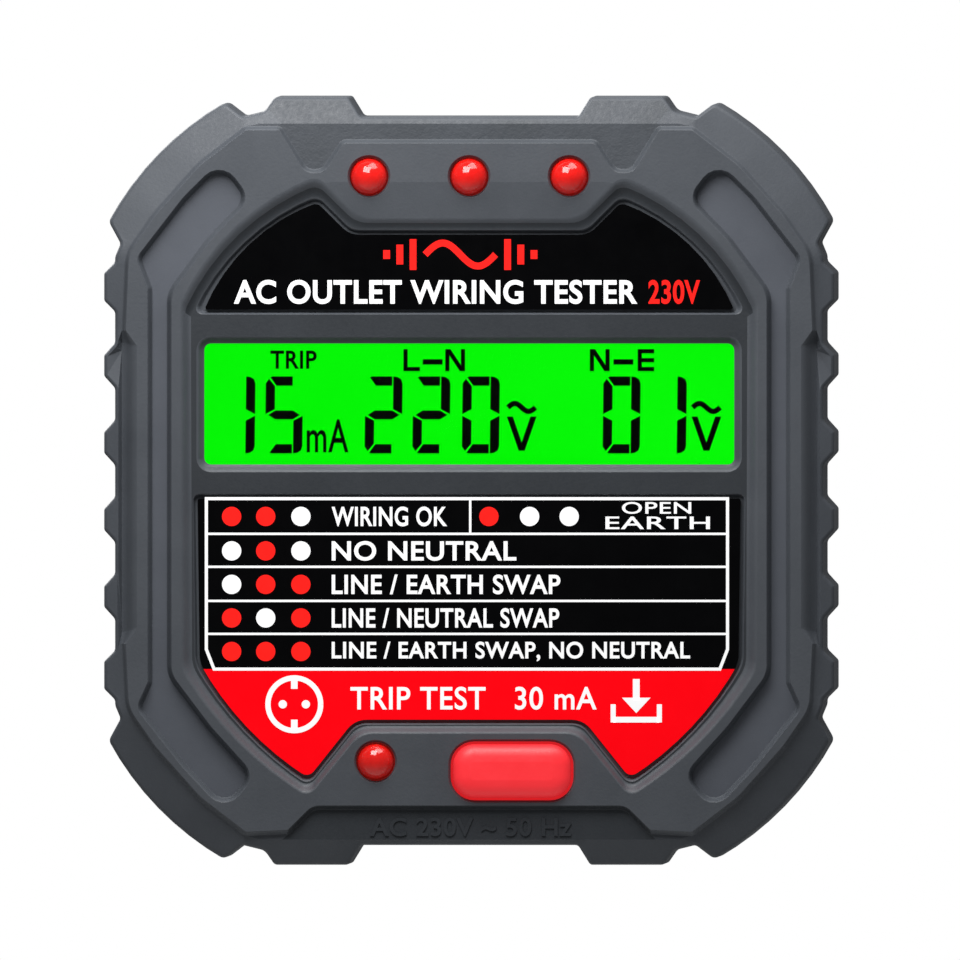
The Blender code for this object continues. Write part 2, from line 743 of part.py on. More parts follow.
def push_switch(black, steel):
    """The square push switch under the button, and its round plunger."""
    low = (BUTTON_X - SWITCH_HALF, FRONT_Y + 0.0060, BUTTON_Z - SWITCH_HALF)
    high = (BUTTON_X + SWITCH_HALF, BOARD_Y - GAP, BUTTON_Z + SWITCH_HALF)
    body = block("switch_body", low, high, steel, 0.0003)
    well = circle(BUTTON_X, BUTTON_Z, PLUNGER_RADIUS + 0.0003, 16)
    cut(body, prism("plunger_well", well, FRONT_Y + 0.004, BOARD_Y - GAP - 0.0003))
    profile = [
        (PLUNGER_RADIUS - 0.0003, plunger_front()),
        (PLUNGER_RADIUS, plunger_front() + 0.0003),
        (PLUNGER_RADIUS, FRONT_Y + 0.0074),
    ]
    plunger = turned("switch_plunger", profile, 0.0, 0.0, black, 16)
    plunger.location = (BUTTON_X, 0.0, BUTTON_Z)


# ---------------------------------------------------------------- electronics


def main_board(finish):
    """The circuit board: an eight-sided plate cut back from the corner bosses."""
    half_x, half_z, cut_x, cut_z = 0.0275, 0.0300, 0.0132, 0.0158
    quarter = [(cut_x, half_z, 0.0), (half_x, cut_z, 0.0)]
    board = prism("main_board", outline(quartered(quarter)), BOARD_Y, BOARD_BACK_Y, finish)
    for index, (x, z) in enumerate(BOARD_POSTS):
        hole = circle(x, z, 0.0013, 10)
        cut(board, prism(f"board_hole_{index}", hole, BOARD_Y - 0.001, BOARD_BACK_Y + 0.001))
    return board


def board_screws(finish):
    for index, (x, z) in enumerate(BOARD_POSTS):
        profile = [
            (0.0008, BOARD_Y - 0.0036),
            (0.0008, BOARD_BACK_Y + GAP),
            (0.0021, BOARD_BACK_Y + GAP),
            (0.0021, BOARD_BACK_Y + 0.0010),
            (0.0013, BOARD_BACK_Y + 0.0016),
        ]
        turned(f"board_screw_{index + 1}", profile, x, z, finish, 12)


def board_components(finishes):
    """The parts on the back of the board, each clear of it by the usual gap."""
    y = BOARD_BACK_Y + GAP
    black, yellow = finishes["black"], finishes["film"]
    block("microcontroller", (-0.006, y, 0.006), (0.006, y + 0.0016, 0.018), black, 0.0003)
    block("film_capacitor", (-0.0245, y, -0.0035), (-0.0185, y + 0.0115, 0.0095), yellow, 0.0006)
    block("rectifier", (0.0125, y, 0.0085), (0.0195, y + 0.0026, 0.0150), black, 0.0004)
    block("trip_thyristor", (0.0105, y, -0.0235), (0.0205, y + 0.0046, -0.0190), black, 0.0005)
    block("crystal", (-0.0145, y, 0.0105), (-0.0105, y + 0.0035, 0.0205), finishes["steel"], 0.0009)
    capacitor = [(0.0041, y), (0.0044, y + 0.0006), (0.0044, y + 0.0110), (0.0038, y + 0.0116)]
    turned("electrolytic_capacitor", capacitor, -0.0135, -0.0195, finishes["sleeve"], 20)
    varistor = [(0.0037, 0.0), (0.0042, 0.0006), (0.0042, 0.0034), (0.0037, 0.0040)]
    disc = turned("varistor", varistor, 0.0, 0.0, finishes["blue"], 20)
    disc.rotation_euler = (math.pi / 2, 0.0, math.pi / 2)
    disc.location = (0.0215, y + 0.0045, -0.0015)
    lying_round("fuse", 0.0020, 0.0100, (-0.0050, y + 0.0022, 0.0250), finishes["glass"])
    for index in range(2):
        place = (-0.0010, y + 0.0024, -0.0165 - 0.0060 * index)
        lying_round(f"power_resistor_{index + 1}", 0.0021, 0.0115, place, finishes["sand"])


def lying_round(name, radius, length, place, finish):
    """A round part lying along X from place."""
    ends = 0.78 * radius
    profile = [
        (ends, 0.0),
        (radius, 0.0005),
        (radius, length - 0.0005),
        (ends, length),
    ]
    piece = turned(name, profile, 0.0, 0.0, finish, 14)
    piece.rotation_euler = (0.0, 0.0, -math.pi / 2)
    piece.location = place


def wires(finishes):
    """Three insulated wires from the pins and the earth bridge to the board."""
    tail_y = CARRIER_Y - 0.0056
    board_y = BOARD_BACK_Y + GAP
    bridge_y = CARRIER_Y - 0.0012 - GAP - CLIP_THICK - GAP
    routes = {
        "wire_live": ((-PIN_X, tail_y, 0.0), (-0.0125, board_y, -0.0085), finishes["brown"]),
        "wire_neutral": ((PIN_X, tail_y, 0.0), (0.0115, board_y, -0.0085), finishes["blue"]),
        "wire_earth": ((0.0, bridge_y, 0.0), (0.0040, board_y, -0.0085), finishes["green"]),
    }
    for name, (start, end, finish) in routes.items():
        wire(name, Vector(start), Vector(end), 0.0009, finish)


def wire(name, start, end, radius, finish):
    """A round wire on a smooth curve that leaves and arrives along Y."""
    pull = Vector((0.0, 0.45 * (end.y - start.y), 0.0))
    curve = bpy.data.curves.new(name, "CURVE")
    curve.dimensions = "3D"
    curve.bevel_depth = radius
    curve.bevel_resolution = 2
    curve.use_fill_caps = True
    spline = curve.splines.new("POLY")
    steps = 10
    spline.points.add(steps)
    for step in range(steps + 1):
        t = step / steps
        place = start * (1 - t) ** 3 + (start + pull) * (3 * t * (1 - t) ** 2)
        place += (end - pull) * (3 * t * t * (1 - t)) + end * t**3
        spline.points[step].co = (*place, 1.0)
    curve.materials.append(finish)
    made = bpy.data.objects.new(name, curve)
    bpy.context.scene.collection.objects.link(made)
    return made


# ---------------------------------------------------------------- the whole tester


def clear_scene():
    for item in list(bpy.data.objects):
        bpy.data.objects.remove(item, do_unlink=True)


def make_finishes():
    return {
        "housing": material("housing_plastic", (0.085, 0.095, 0.11), 0.55),
        "black": material("black_plastic", (0.02, 0.02, 0.022), 0.5),
        "label": material("printed_label", (0.01, 0.01, 0.01), 0.15),
        "red": material("red_plastic", (0.85, 0.03, 0.04), 0.45),
        "lamp": material("red_lamp_resin", (0.80, 0.02, 0.02), 0.1),
        "clear": material("clear_acrylic", (0.9, 0.95, 0.9), 0.05, alpha=0.25),
        "lcd": material("display_glass", (0.0, 0.85, 0.0), 0.1),
        "light": material("light_guide", (0.2, 0.9, 0.2), 0.3),
        "rubber": material("contact_rubber", (0.25, 0.25, 0.27), 0.8),
        "steel": material("plated_steel", (0.65, 0.65, 0.66), 0.3, 1.0),
        "nickel": material("nickel_plated_brass", (0.78, 0.75, 0.70), 0.22, 1.0),
        "board": material("circuit_board", (0.02, 0.20, 0.07), 0.4),
        "film": material("film_capacitor_case", (0.85, 0.62, 0.08), 0.45),
        "sleeve": material("capacitor_sleeve", (0.03, 0.04, 0.10), 0.35),
        "blue": material("blue_coating", (0.05, 0.20, 0.65), 0.4),
        "sand": material("resistor_coating", (0.62, 0.50, 0.34), 0.5),
        "glass": material("fuse_glass", (0.75, 0.80, 0.80), 0.1),
        "brown": material("brown_insulation", (0.25, 0.10, 0.04), 0.45),
        "green": material("green_insulation", (0.15, 0.55, 0.08), 0.45),
    }


def main():
    clear_scene()
    finishes = make_finishes()
    front_housing(finishes["housing"])
    rear_housing(finishes["housing"])
    housing_screws(finishes["steel"])
    plug_boss(finishes["housing"])
    pins(finishes["nickel"])
    pin_carrier(finishes["black"])
    carrier_screws(finishes["steel"])
    earth_clips(finishes["nickel"])
    earth_bridge(finishes["nickel"])
    labels(finishes["label"])
    display_parts(finishes)
    lamps(finishes["lamp"], finishes["black"])
    test_button(finishes["red"])
    push_switch(finishes["black"], finishes["steel"])
    main_board(finishes["board"])
    board_screws(finishes["steel"])
    board_components(finishes)
    wires(finishes)


main()
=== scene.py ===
"""The looks of an outlet tester plug: moulded housing, printed labels, backlit display,
indicator lamps, test button and the round two-pin plug behind it.

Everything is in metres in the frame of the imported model: the origin is the middle of the
plug boss's end face, +Y points into the wall, and the display looks along -Y.
"""

import json
import math

import bmesh
import bpy
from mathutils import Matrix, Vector, geometry

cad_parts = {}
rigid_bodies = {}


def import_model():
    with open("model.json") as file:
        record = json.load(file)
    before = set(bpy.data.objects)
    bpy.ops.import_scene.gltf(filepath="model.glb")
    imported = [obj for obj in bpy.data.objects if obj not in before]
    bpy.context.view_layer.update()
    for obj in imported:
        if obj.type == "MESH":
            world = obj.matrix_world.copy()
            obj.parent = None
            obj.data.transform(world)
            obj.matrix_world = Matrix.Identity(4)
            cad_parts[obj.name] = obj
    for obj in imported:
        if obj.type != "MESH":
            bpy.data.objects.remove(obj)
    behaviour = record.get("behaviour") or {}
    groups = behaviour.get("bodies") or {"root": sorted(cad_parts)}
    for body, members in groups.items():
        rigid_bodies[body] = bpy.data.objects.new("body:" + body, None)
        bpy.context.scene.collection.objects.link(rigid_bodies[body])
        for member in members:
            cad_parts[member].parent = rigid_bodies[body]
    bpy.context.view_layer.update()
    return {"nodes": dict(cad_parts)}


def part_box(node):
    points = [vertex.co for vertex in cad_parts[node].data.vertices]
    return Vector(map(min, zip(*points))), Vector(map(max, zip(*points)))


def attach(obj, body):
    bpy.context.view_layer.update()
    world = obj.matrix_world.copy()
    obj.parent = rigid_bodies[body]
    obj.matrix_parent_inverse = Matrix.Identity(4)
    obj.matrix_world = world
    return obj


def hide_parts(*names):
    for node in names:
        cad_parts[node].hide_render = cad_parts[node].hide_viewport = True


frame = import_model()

bl_info = {
    "name": "Outlet Tester Plug",
    "version": (1, 0, 0),
    "blender": (4, 5, 0),
    "location": "View3D > Sidebar > Outlet Tester",
    "description": "Builds a plug-in outlet tester round its packed model",
    "category": "Object",
}

BODY, BUTTON_BODY = "tester", "button"

# ---------------------------------------------------------------- places read from the frame


def low(node):
    return Vector(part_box(node)[0])


def high(node):
    return Vector(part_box(node)[1])


def middle(node):
    return (low(node) + high(node)) / 2


FRONT_Y = low("front_housing").y
FRONT_SPLIT_Y = high("front_housing").y
REAR_SPLIT_Y = FRONT_SPLIT_Y + 0.0003
BACK_Y = high("rear_housing").y
LABEL_FACE_Y = low("upper_label").y
LABEL_BACK_Y = high("upper_label").y
WINDOW_Y = low("display_window").y
GLASS_FACE_Y = low("lcd_glass").y
GLASS_BACK_Y = high("lcd_glass").y
BUTTON_X, BUTTON_Z = 0.0039, -0.02636  # middle of the button's cap
BUTTON_GAP = 0.00025
LAMPS = ("led_left", "led_centre", "led_right", "led_trip")
LAMP_RADIUS, LAMP_HOLE_RADIUS = 0.00168, 0.00178
HOUSING_SCREWS = [f"housing_screw_{number}" for number in (1, 2, 3, 4)]

# Depths below the front face
RIM_DEPTH = 0.0006
SIDE_PANEL_DEPTH = 0.00125
SLAB_DEPTH = 0.0007  # the frame round the display
LABEL_FLOOR_DEPTH = 0.0012
FRONT_WALL_Y = FRONT_Y + 0.0026
BACK_WALL_Y = BACK_Y - 0.0024

# Screw posts and bores, the plug's neck and the pins' collars
FRONT_POST_RADIUS, REAR_POST_RADIUS = 0.0033, 0.0040
SCREW_BORE_RADIUS, SHANK_BORE_RADIUS = 0.0016, 0.0017
HEAD_BORE_RADIUS, HEAD_BORE_DEPTH = 0.0030, 0.0046
HEAD_BORE_RIM = [(0.0003, 0.0), (0.0001, 0.00006), (0.0, 0.0003)]  # wider by, deeper by
NECK_RADIUS = 0.0153
PIN_RADIUS, PIN_TAIL_RADIUS, COLLAR_RADIUS = 0.0024, 0.0014, 0.0034
COLLAR_Y, COLLAR_LENGTH = -0.0228, 0.0012

# Silhouette, one quarter, clockwise from the top: x, z, rounding and the next side's bulge
SIDE_X = 0.0322
QUARTER_TOP = [
    (0.0099, 0.0331, 0.0005),
    (0.0110, 0.0349, 0.0004),
    (0.0177, 0.0349, 0.0005),
    (0.0186, 0.0336, 0.0010),
    (0.0206, 0.0331, 0.0005),
    (0.0223, 0.0344, 0.0007, 0.00105),
    (0.0328, 0.0236, 0.0007),
    (0.0317, 0.0216, 0.0005),
    (SIDE_X, 0.0204, 0.0012),
]
GRIP_PROUD = 0.0010
GRIPS = [
    (0.01765, 0.00125, 0.00225),
    (0.0105, 0.00095, 0.00205),
    (0.0035, 0.00095, 0.00205),
]

# Foot of the raised crown, right half, clockwise from the top
CROWN_STEP = 0.0004
INSET_X = 0.0302  # where the crown's edge runs beside the sloping side panels
HALF_CROWN = [
    (0.0116, 0.0311, 0.0009),
    (0.0134, 0.0284, 0.0009),
    (0.0147, 0.0284, 0.0009),
    (0.0171, 0.0323, 0.0006),
    (0.0204, 0.0323, 0.0009),
    (0.0247, 0.0290, 0.0070),
    (0.0288, 0.0244, 0.0070),
    (0.0313, 0.0208, 0.0040),
    (0.0316, 0.0137, 0.0006),
    (0.0316, 0.0123, 0.0006),
    (0.0316, -0.0134, 0.0006),
    (0.0316, -0.0148, 0.0006),
    (0.0313, -0.0208, 0.0040),
    (0.0288, -0.0244, 0.0070),
    (0.0247, -0.0290, 0.0070),
    (0.0204, -0.0323, 0.0009),
    (0.0163, -0.0321, 0.0006),
    (0.0141, -0.0299, 0.0012),
]

# Dish that holds the labels and the display frame, right half: the crest of its rounded
# wall and, corner for corner, the wall's foot
HALF_SHOULDER = [
    (0.0099, 0.0240, 0.0034),
    (0.0138, 0.0278, 0.0024, 0.0017),
    (0.0263, 0.0161, 0.0020),
    (0.0262, -0.0172, 0.0044, 0.0010),
    (0.0146, -0.0288, 0.0020),
    (0.0099, -0.0230, 0.0026),
]
HALF_DISH = [
    (0.01066, 0.02295, 0.0022),
    (0.0138, 0.0261, 0.0011, 0.0015),
    (0.0253, 0.0152, 0.0010),
    (0.0252, -0.0168, 0.0032, 0.0009),
    (0.0146, -0.02785, 0.0012),
    (0.0101, -0.02225, 0.0022),
]
HALF_UPPER_RECESS = [
    (0.0108, 0.0226, 0.0020),
    (0.0138, 0.0256, 0.0010, 0.0015),
    (0.0246, 0.0154, 0.0004),
]
HALF_LOWER_RECESS = [
    (0.0249, -0.0014, 0.0004),
    (0.0247, -0.0166, 0.0030, 0.0009),
    (0.0146, -0.0273, 0.0010),
    (0.0103, -0.0219, 0.0020),
]
LABEL_MARGIN = 0.0002
WINDOW_X, WINDOW_LOW, WINDOW_HIGH = 0.0241, 0.0015, 0.0125

# Channel beside the right edge, its upper and lower ends
CHANNEL_TOP = [
    (0.0275, 0.0172, 0.0030),
    (0.0238, 0.0222, 0.0080),
    (0.0204, 0.0257, 0.0012),
    (0.0226, 0.0286, 0.0014),
    (0.0257, 0.0255, 0.0080),
    (0.0298, 0.0202, 0.0007),
    (0.0288, 0.0176, 0.0010),
]
CHANNEL_FOOT = [
    (0.0288, -0.0184, 0.0010),
    (0.0298, -0.0206, 0.0007),
    (0.0257, -0.0258, 0.0080),
    (0.0222, -0.0295, 0.0014),
    (0.0200, -0.0268, 0.0012),
    (0.0238, -0.0226, 0.0080),
    (0.0275, -0.0177, 0.0030),
]
CHANNEL_DEPTH = 0.0010

# Inside of both shells, one quarter
QUARTER_CAVITY = [(0.0208, 0.0309, 0.0020, 0.0018), (0.0301, 0.0221, 0.0020)]

# Top plateau: in front of this line through the lamps its face leans back to the dish
CREASE_Z = 0.0272
CREASE_DROP = 0.00035

# Heights of the folds where the rim turns level above and below the crown
RIM_FOLDS = (0.0325, -0.0326)

# Convex outline that the rim slopes away from, one quarter
QUARTER_HULL = [(0.0204, 0.0324), (0.0247, 0.0291), (0.0289, 0.0245), (0.0315, 0.0207)]

# ---------------------------------------------------------------- outlines


def following_bulges(corners):
    return [corner[3] if len(corner) > 3 else 0.0 for corner in corners]


def reflected(corners, across_x):
    """The corners mirrored across x = 0 or z = 0, in the order that keeps them clockwise."""
    bulges = following_bulges(corners)
    mirrored = []
    for index in range(len(corners) - 1, -1, -1):
        x, z, radius = corners[index][:3]
        place = (-x, z) if across_x else (x, -z)
        mirrored.append((*place, radius, bulges[index - 1] if index else 0.0))
    return mirrored


def both_sides(half):
    return half + reflected(half, across_x=True)


def all_round(quarter):
    return both_sides(quarter + reflected(quarter, across_x=False))


def body_corners():
    quarter = list(QUARTER_TOP)
    for centre, crest, foot in GRIPS:
        quarter.append((SIDE_X, centre + foot, 0.0006))
        quarter.append((SIDE_X + GRIP_PROUD, centre + crest, 0.0004))
        quarter.append((SIDE_X + GRIP_PROUD, centre - crest, 0.0004))
        quarter.append((SIDE_X, centre - foot, 0.0006))
    return all_round(quarter)


def channel_corners(side):
    corners = CHANNEL_TOP + CHANNEL_FOOT
    return corners if side > 0 else reflected(corners, across_x=True)


def box_corners(low_x, low_z, high_x, high_z, radius):
    return [
        (low_x, high_z, radius),
        (high_x, high_z, radius),
        (high_x, low_z, radius),
        (low_x, low_z, radius),
    ]


def node_corners(node, radius, grow=0.0):
    start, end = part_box(node)
    return box_corners(start[0] - grow, start[2] - grow, end[0] + grow, end[2] + grow, radius)


def shrunk(corners, distance):
    """The corners with each side moved in, and their roundings changed to match."""
    inner = []
    count = len(corners)
    for index, corner in enumerate(corners):
        here = Vector(corner[:2])
        before = (here - Vector(corners[index - 1][:2])).normalized()
        after = (Vector(corners[(index + 1) % count][:2]) - here).normalized()
        normal = Vector((before.y + after.y, -before.x - after.x)).normalized()
        place = here + normal * (distance / normal.dot(Vector((before.y, -before.x))))
        turns_out = before.x * after.y - before.y * after.x > 0
        radius = corner[2] + (distance if turns_out else -distance)
        inner.append((place.x, place.y, max(radius, 0.00008), *corner[3:]))
    return inner


def bulge_points(start, end, bulge, steps=8):
    """Points between two corners on an arc that stands out to the left of their chord."""
    chord = end - start
    length = chord.length
    radius = length * length / (8 * bulge) + bulge / 2
    out = Vector((-chord.y, chord.x)) / length
    centre = (start + end) / 2 - out * (radius - bulge)
    half_angle = math.asin(length / 2 / radius)
    points = []
    for step in range(1, steps):
        angle = half_angle * (1 - 2 * step / steps)
        along = chord / length * -math.sin(angle)
        points.append(centre + (along + out * math.cos(angle)) * radius)
    return points


def outline(corners, distance=0.0, steps=5):
    """The closed list of points of rounded corners, moved in by a distance."""
    corners = shrunk(corners, distance) if distance else corners
    sharp = []
    for index, corner in enumerate(corners):
        here = Vector(corner[:2])
        sharp.append((here, corner[2]))
        if len(corner) > 3 and corner[3]:
            after = Vector(corners[(index + 1) % len(corners)][:2])
            sharp += [(point, 0.0) for point in bulge_points(here, after, corner[3])]
    points = []
    for index, (here, radius) in enumerate(sharp):
        back = sharp[index - 1][0] - here
        ahead = sharp[(index + 1) % len(sharp)][0] - here
        if radius == 0.0:
            points.append(here)
            continue
        points += corner_arc(here, back, ahead, radius, steps)
    return points


def corner_arc(here, back, ahead, radius, steps):
    """The points of a round corner between the sides that lead back and ahead.

    A straight corner gets as many points, spread along the line.
    """
    half = back.angle(ahead) / 2
    if half > 1.56:
        reach = min(radius, 0.3 * back.length, 0.3 * ahead.length)
        start, end = here + back.normalized() * reach, here + ahead.normalized() * reach
        return [start.lerp(end, step / steps) for step in range(steps + 1)]
    reach = min(radius / math.tan(half), 0.47 * back.length, 0.47 * ahead.length)
    round_radius = reach * math.tan(half)
    middle_way = (back.normalized() + ahead.normalized()).normalized()
    centre = here + middle_way * (round_radius / math.sin(half))
    start = here + back.normalized() * reach - centre
    end = here + ahead.normalized() * reach - centre
    sweep = math.atan2(start.x * end.y - start.y * end.x, start.dot(end))
    points = []
    for step in range(steps + 1):
        angle = sweep * step / steps
        turned = Vector(
            (
                start.x * math.cos(angle) - start.y * math.sin(angle),
                start.x * math.sin(angle) + start.y * math.cos(angle),
            )
        )
        points.append(centre + turned)
    return points


def circle(x, z, radius, steps=48):
    """Points round a circle, clockwise."""
    angles = [-2 * math.pi * step / steps for step in range(steps)]
    return [Vector((x + radius * math.cos(a), z + radius * math.sin(a))) for a in angles]


def inside(point, loop):
    """True if the point lies within the closed loop."""
    hit = False
    for here, before in zip(loop, loop[-1:] + loop[:-1]):
        if (here.y > point.y) != (before.y > point.y):
            cross = (before.x - here.x) * (point.y - here.y) / (before.y - here.y) + here.x
            hit ^= point.x < cross
    return hit


def outside_hull(point):
    """How far a point lies outside the convex outline that the rim slopes away from."""
    here = Vector((abs(point.x), abs(point.y)))
    corners = [Vector((0.0, 0.0324)), *(Vector(c) for c in QUARTER_HULL), Vector((0.0317, 0.0))]
    furthest = 0.0
    for start, end in zip(corners, corners[1:]):
        along = (end - start).normalized()
        furthest = max(furthest, (here - start).dot(Vector((-along.y, along.x))))
    return furthest


# ---------------------------------------------------------------- building skins


# Kinds of face, and the angle above which an edge between two faces of a kind is sharp
WALL, FLAT, SLOPING = 0, 1, 2
SHARP_BEND = {WALL: math.radians(32), FLAT: 0.005, SLOPING: 0.26}


class Skin:
    """A mesh made of closed loops along Y, walls between them and flat fills."""

    def __init__(self):
        self.mesh = bmesh.new()
        self.kind = self.mesh.faces.layers.int.new("kind")

    def loop(self, points, depth):
        """Vertices of one loop; depth is its y, or a function that gives y at a point."""
        found = depth if callable(depth) else lambda point: depth
        return [self.mesh.verts.new((p.x, found(p), p.y)) for p in points]

    def wall(self, near, far, zone_of=None):
        """A strip of wall; zone_of gives the finish of a face from its place."""
        for index in range(len(near)):
            after = (index + 1) % len(near)
            face = self.mesh.faces.new((near[index], near[after], far[after], far[index]))
            if zone_of:
                between = (near[index].co + near[after].co) / 2
                face.material_index = zone_of(Vector((between.x, between.z)))

    def walls(self, loops, zone_of=None):
        for near, far in zip(loops, loops[1:]):
            self.wall(near, far, zone_of)

    def fill(self, outer, holes=(), zone=0, zone_of=None, creases=(), kind=FLAT):
        """Closes the area inside the outer loop, outside the holes, folded at the creases."""
        loops = [outer, *holes]
        verts = [vert for loop in [*loops, *creases] for vert in loop]
        spots = [Vector((vert.co.x, vert.co.z)) for vert in verts]
        edges = []
        first = 0
        for loop in loops:
            count = len(loop)
            edges += [(first + i, first + (i + 1) % count) for i in range(count)]
            first += count
        for crease in creases:
            edges += [(first + i, first + i + 1) for i in range(len(crease) - 1)]
            first += len(crease)
        done = geometry.delaunay_2d_cdt(spots, edges, [], 0, 1e-9)
        places, triangles, sources = done[0], done[2], done[3]
        if not all(sources):
            crossing = places[[not source for source in sources].index(True)]
            raise ValueError(f"outlines cross near {crossing}")
        own = [verts[source[0]] for source in sources]
        outlines = [[Vector((v.co.x, v.co.z)) for v in loop] for loop in loops]
        for triangle in triangles:
            centre = sum((places[i] for i in triangle), Vector((0.0, 0.0))) / 3
            if not inside(centre, outlines[0]):
                continue
            if any(inside(centre, hole) for hole in outlines[1:]):
                continue
            face = self.mesh.faces.new([own[i] for i in triangle])
            face.material_index = zone_of(centre) if zone_of else zone
            face[self.kind] = kind

    def is_sharp(self, edge):
        """True between faces of two kinds, and on a bend too steep for their kind."""
        one, other = (face[self.kind] for face in edge.link_faces)
        return one != other or edge.calc_face_angle() > SHARP_BEND[one]

    def made(self, name, materials, weighted=True):
        """The finished object, with outward faces and smooth shading between sharp edges."""
        bmesh.ops.recalc_face_normals(self.mesh, faces=self.mesh.faces)
        for face in self.mesh.faces:
            face.smooth = True
        for edge in self.mesh.edges:
            edge.smooth = not self.is_sharp(edge)
        self.mesh.faces.layers.int.remove(self.kind)
        mesh = bpy.data.meshes.new(name)
        self.mesh.to_mesh(mesh)
        self.mesh.free()
        for finish in materials:
            mesh.materials.append(finish)
        piece = bpy.data.objects.new(name, mesh)
        bpy.context.scene.collection.objects.link(piece)
        if weighted:
            modifier = piece.modifiers.new("flat faces stay flat", "WEIGHTED_NORMAL")
            modifier.keep_sharp = True
            modifier.weight = 90
        return piece


def eased(steps):
    """Pairs of travel across and travel down for a wall that is rounded at both ends."""
    return [(t, (1 - math.cos(math.pi * t)) / 2) for t in (s / steps for s in range(steps + 1))]


def lofted(skin, outer, inner, top_of, floor_of, steps):
    """Loops of a rounded wall between two outlines with as many points each."""
    loops = []
    tops = [top_of(point) for point in outer]
    floors = [floor_of(point) for point in inner]
    for across, down in eased(steps):
        loop = []
        for start, end, top, floor in zip(outer, inner, tops, floors):
            place = start.lerp(end, across)
            loop.append(skin.mesh.verts.new((place.x, top + (floor - top) * down, place.y)))
        loops.append(loop)
    return loops


def sunk(skin, corners, top, floor, out, steps=6, arc_steps=5):
    """Loops of a rounded wall that drops from top to floor, coming in by out to the corners."""
    loops = []
    for across, down in eased(steps):
        points = outline(corners, -out * (1 - across), arc_steps)
        loops.append(skin.loop(points, top + (floor - top) * down))
    skin.walls(loops)
    return loops


def settle(piece, body, slot_name, *nodes):
    """Rides a piece on a body and hides the model nodes that it stands for."""
    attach(piece, body)
    if nodes:
        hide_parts(*nodes)


def turned(name, profile, x, z, finish):
    """A round piece about an axis along Y; profile is (radius, y) pairs."""
    skin = Skin()
    loops = [skin.loop(circle(x, z, radius, 40), y) for radius, y in profile]
    skin.walls(loops)
    skin.fill(loops[0])
    skin.fill(loops[-1])
    return skin.made(name, [finish], weighted=False)


def slab(name, points, near_y, far_y, finish, edge):
    """A flat plate between two depths with a small chamfer on the near edge."""
    skin = Skin()
    near = skin.loop(points, near_y + edge)
    far = skin.loop(points, far_y)
    skin.wall(near, far)
    skin.fill(far)
    centre = sum(points, Vector((0.0, 0.0))) / len(points)
    face = skin.loop([p + (centre - p).normalized() * edge for p in points], near_y)
    skin.wall(near, face)
    skin.fill(face)
    return skin.made(name, [finish], weighted=False)


# ---------------------------------------------------------------- materials


def linear(code):
    """An sRGB hex colour as linear RGBA."""
    channels = []
    for index in (1, 3, 5):
        value = int(code[index : index + 2], 16) / 255
        channels.append(value / 12.92 if value <= 0.04045 else ((value + 0.055) / 1.055) ** 2.4)
    return (*channels, 1.0)


def per_metre(size_mm):
    """The texture scale that gives features of this size in millimetres."""
    return 1000.0 / size_mm


def node(tree, kind, settings=None, links=None):
    """Adds one node, sets its properties and inputs, and links inputs from other sockets."""
    made = tree.nodes.new(kind)
    for name, value in (settings or {}).items():
        if isinstance(name, int) or name in made.inputs:
            made.inputs[name].default_value = value
        else:
            setattr(made, name, value)
    for name, socket in (links or {}).items():
        tree.links.new(socket, made.inputs[name])
    return made


def blank(name, colour, roughness, **more):
    """A material with a Principled shader; returns it with its tree and shader."""
    finish = bpy.data.materials.new(name)
    finish.use_nodes = True
    shader = finish.node_tree.nodes["Principled BSDF"]
    shader.inputs["Base Color"].default_value = linear(colour)
    shader.inputs["Roughness"].default_value = roughness
    for socket, value in more.items():
        shader.inputs[socket.replace("_", " ")].default_value = value
    finish.diffuse_color = linear(colour)
    return finish, finish.node_tree, shader


def mottled(tree, shader, colour, other, size_mm):
    """Lets the colour drift softly between two hex values; returns the coordinates' node."""
    place = node(tree, "ShaderNodeTexCoord")
    noise = node(
        tree,
        "ShaderNodeTexNoise",
        {"Scale": per_metre(size_mm), "Detail": 4.0, "Roughness": 0.6},
        {"Vector": place.outputs["Object"]},
    )
    ramp = node(tree, "ShaderNodeValToRGB", links={"Fac": noise.outputs["Fac"]})
    ramp.color_ramp.elements[0].position = 0.3
    ramp.color_ramp.elements[1].position = 0.7
    ramp.color_ramp.elements[0].color = linear(colour)
    ramp.color_ramp.elements[1].color = linear(other)
    tree.links.new(ramp.outputs["Color"], shader.inputs["Base Color"])
    return place


def grained(tree, shader, place, size_mm, height_mm, rough_low, rough_high):
    """Fine pits and bumps with a matching change in roughness."""
    grain = node(
        tree,
        "ShaderNodeTexNoise",
        {"Scale": per_metre(size_mm), "Detail": 3.0, "Roughness": 0.65},
        {"Vector": place.outputs["Object"]},
    )
    rough = node(
        tree,
        "ShaderNodeMapRange",
        {"From Min": 0.3, "From Max": 0.7, "To Min": rough_low, "To Max": rough_high},
        {"Value": grain.outputs["Fac"]},
    )
    bump = node(
        tree,
        "ShaderNodeBump",
        {"Strength": 1.0, "Distance": height_mm / 1000},
        {"Height": grain.outputs["Fac"]},
    )
    tree.links.new(rough.outputs["Result"], shader.inputs["Roughness"])
    tree.links.new(bump.outputs["Normal"], shader.inputs["Normal"])


def spark_eroded_abs(name, colour, other, grain_mm, height_mm):
    """ABS moulded in a spark-eroded tool: a dull slate grey with a fine even sparkle."""
    finish, tree, shader = blank(name, colour, 0.5, Specular_IOR_Level=0.45)
    place = mottled(tree, shader, colour, other, 6.0)
    grained(tree, shader, place, grain_mm, height_mm, 0.44, 0.62)
    return finish


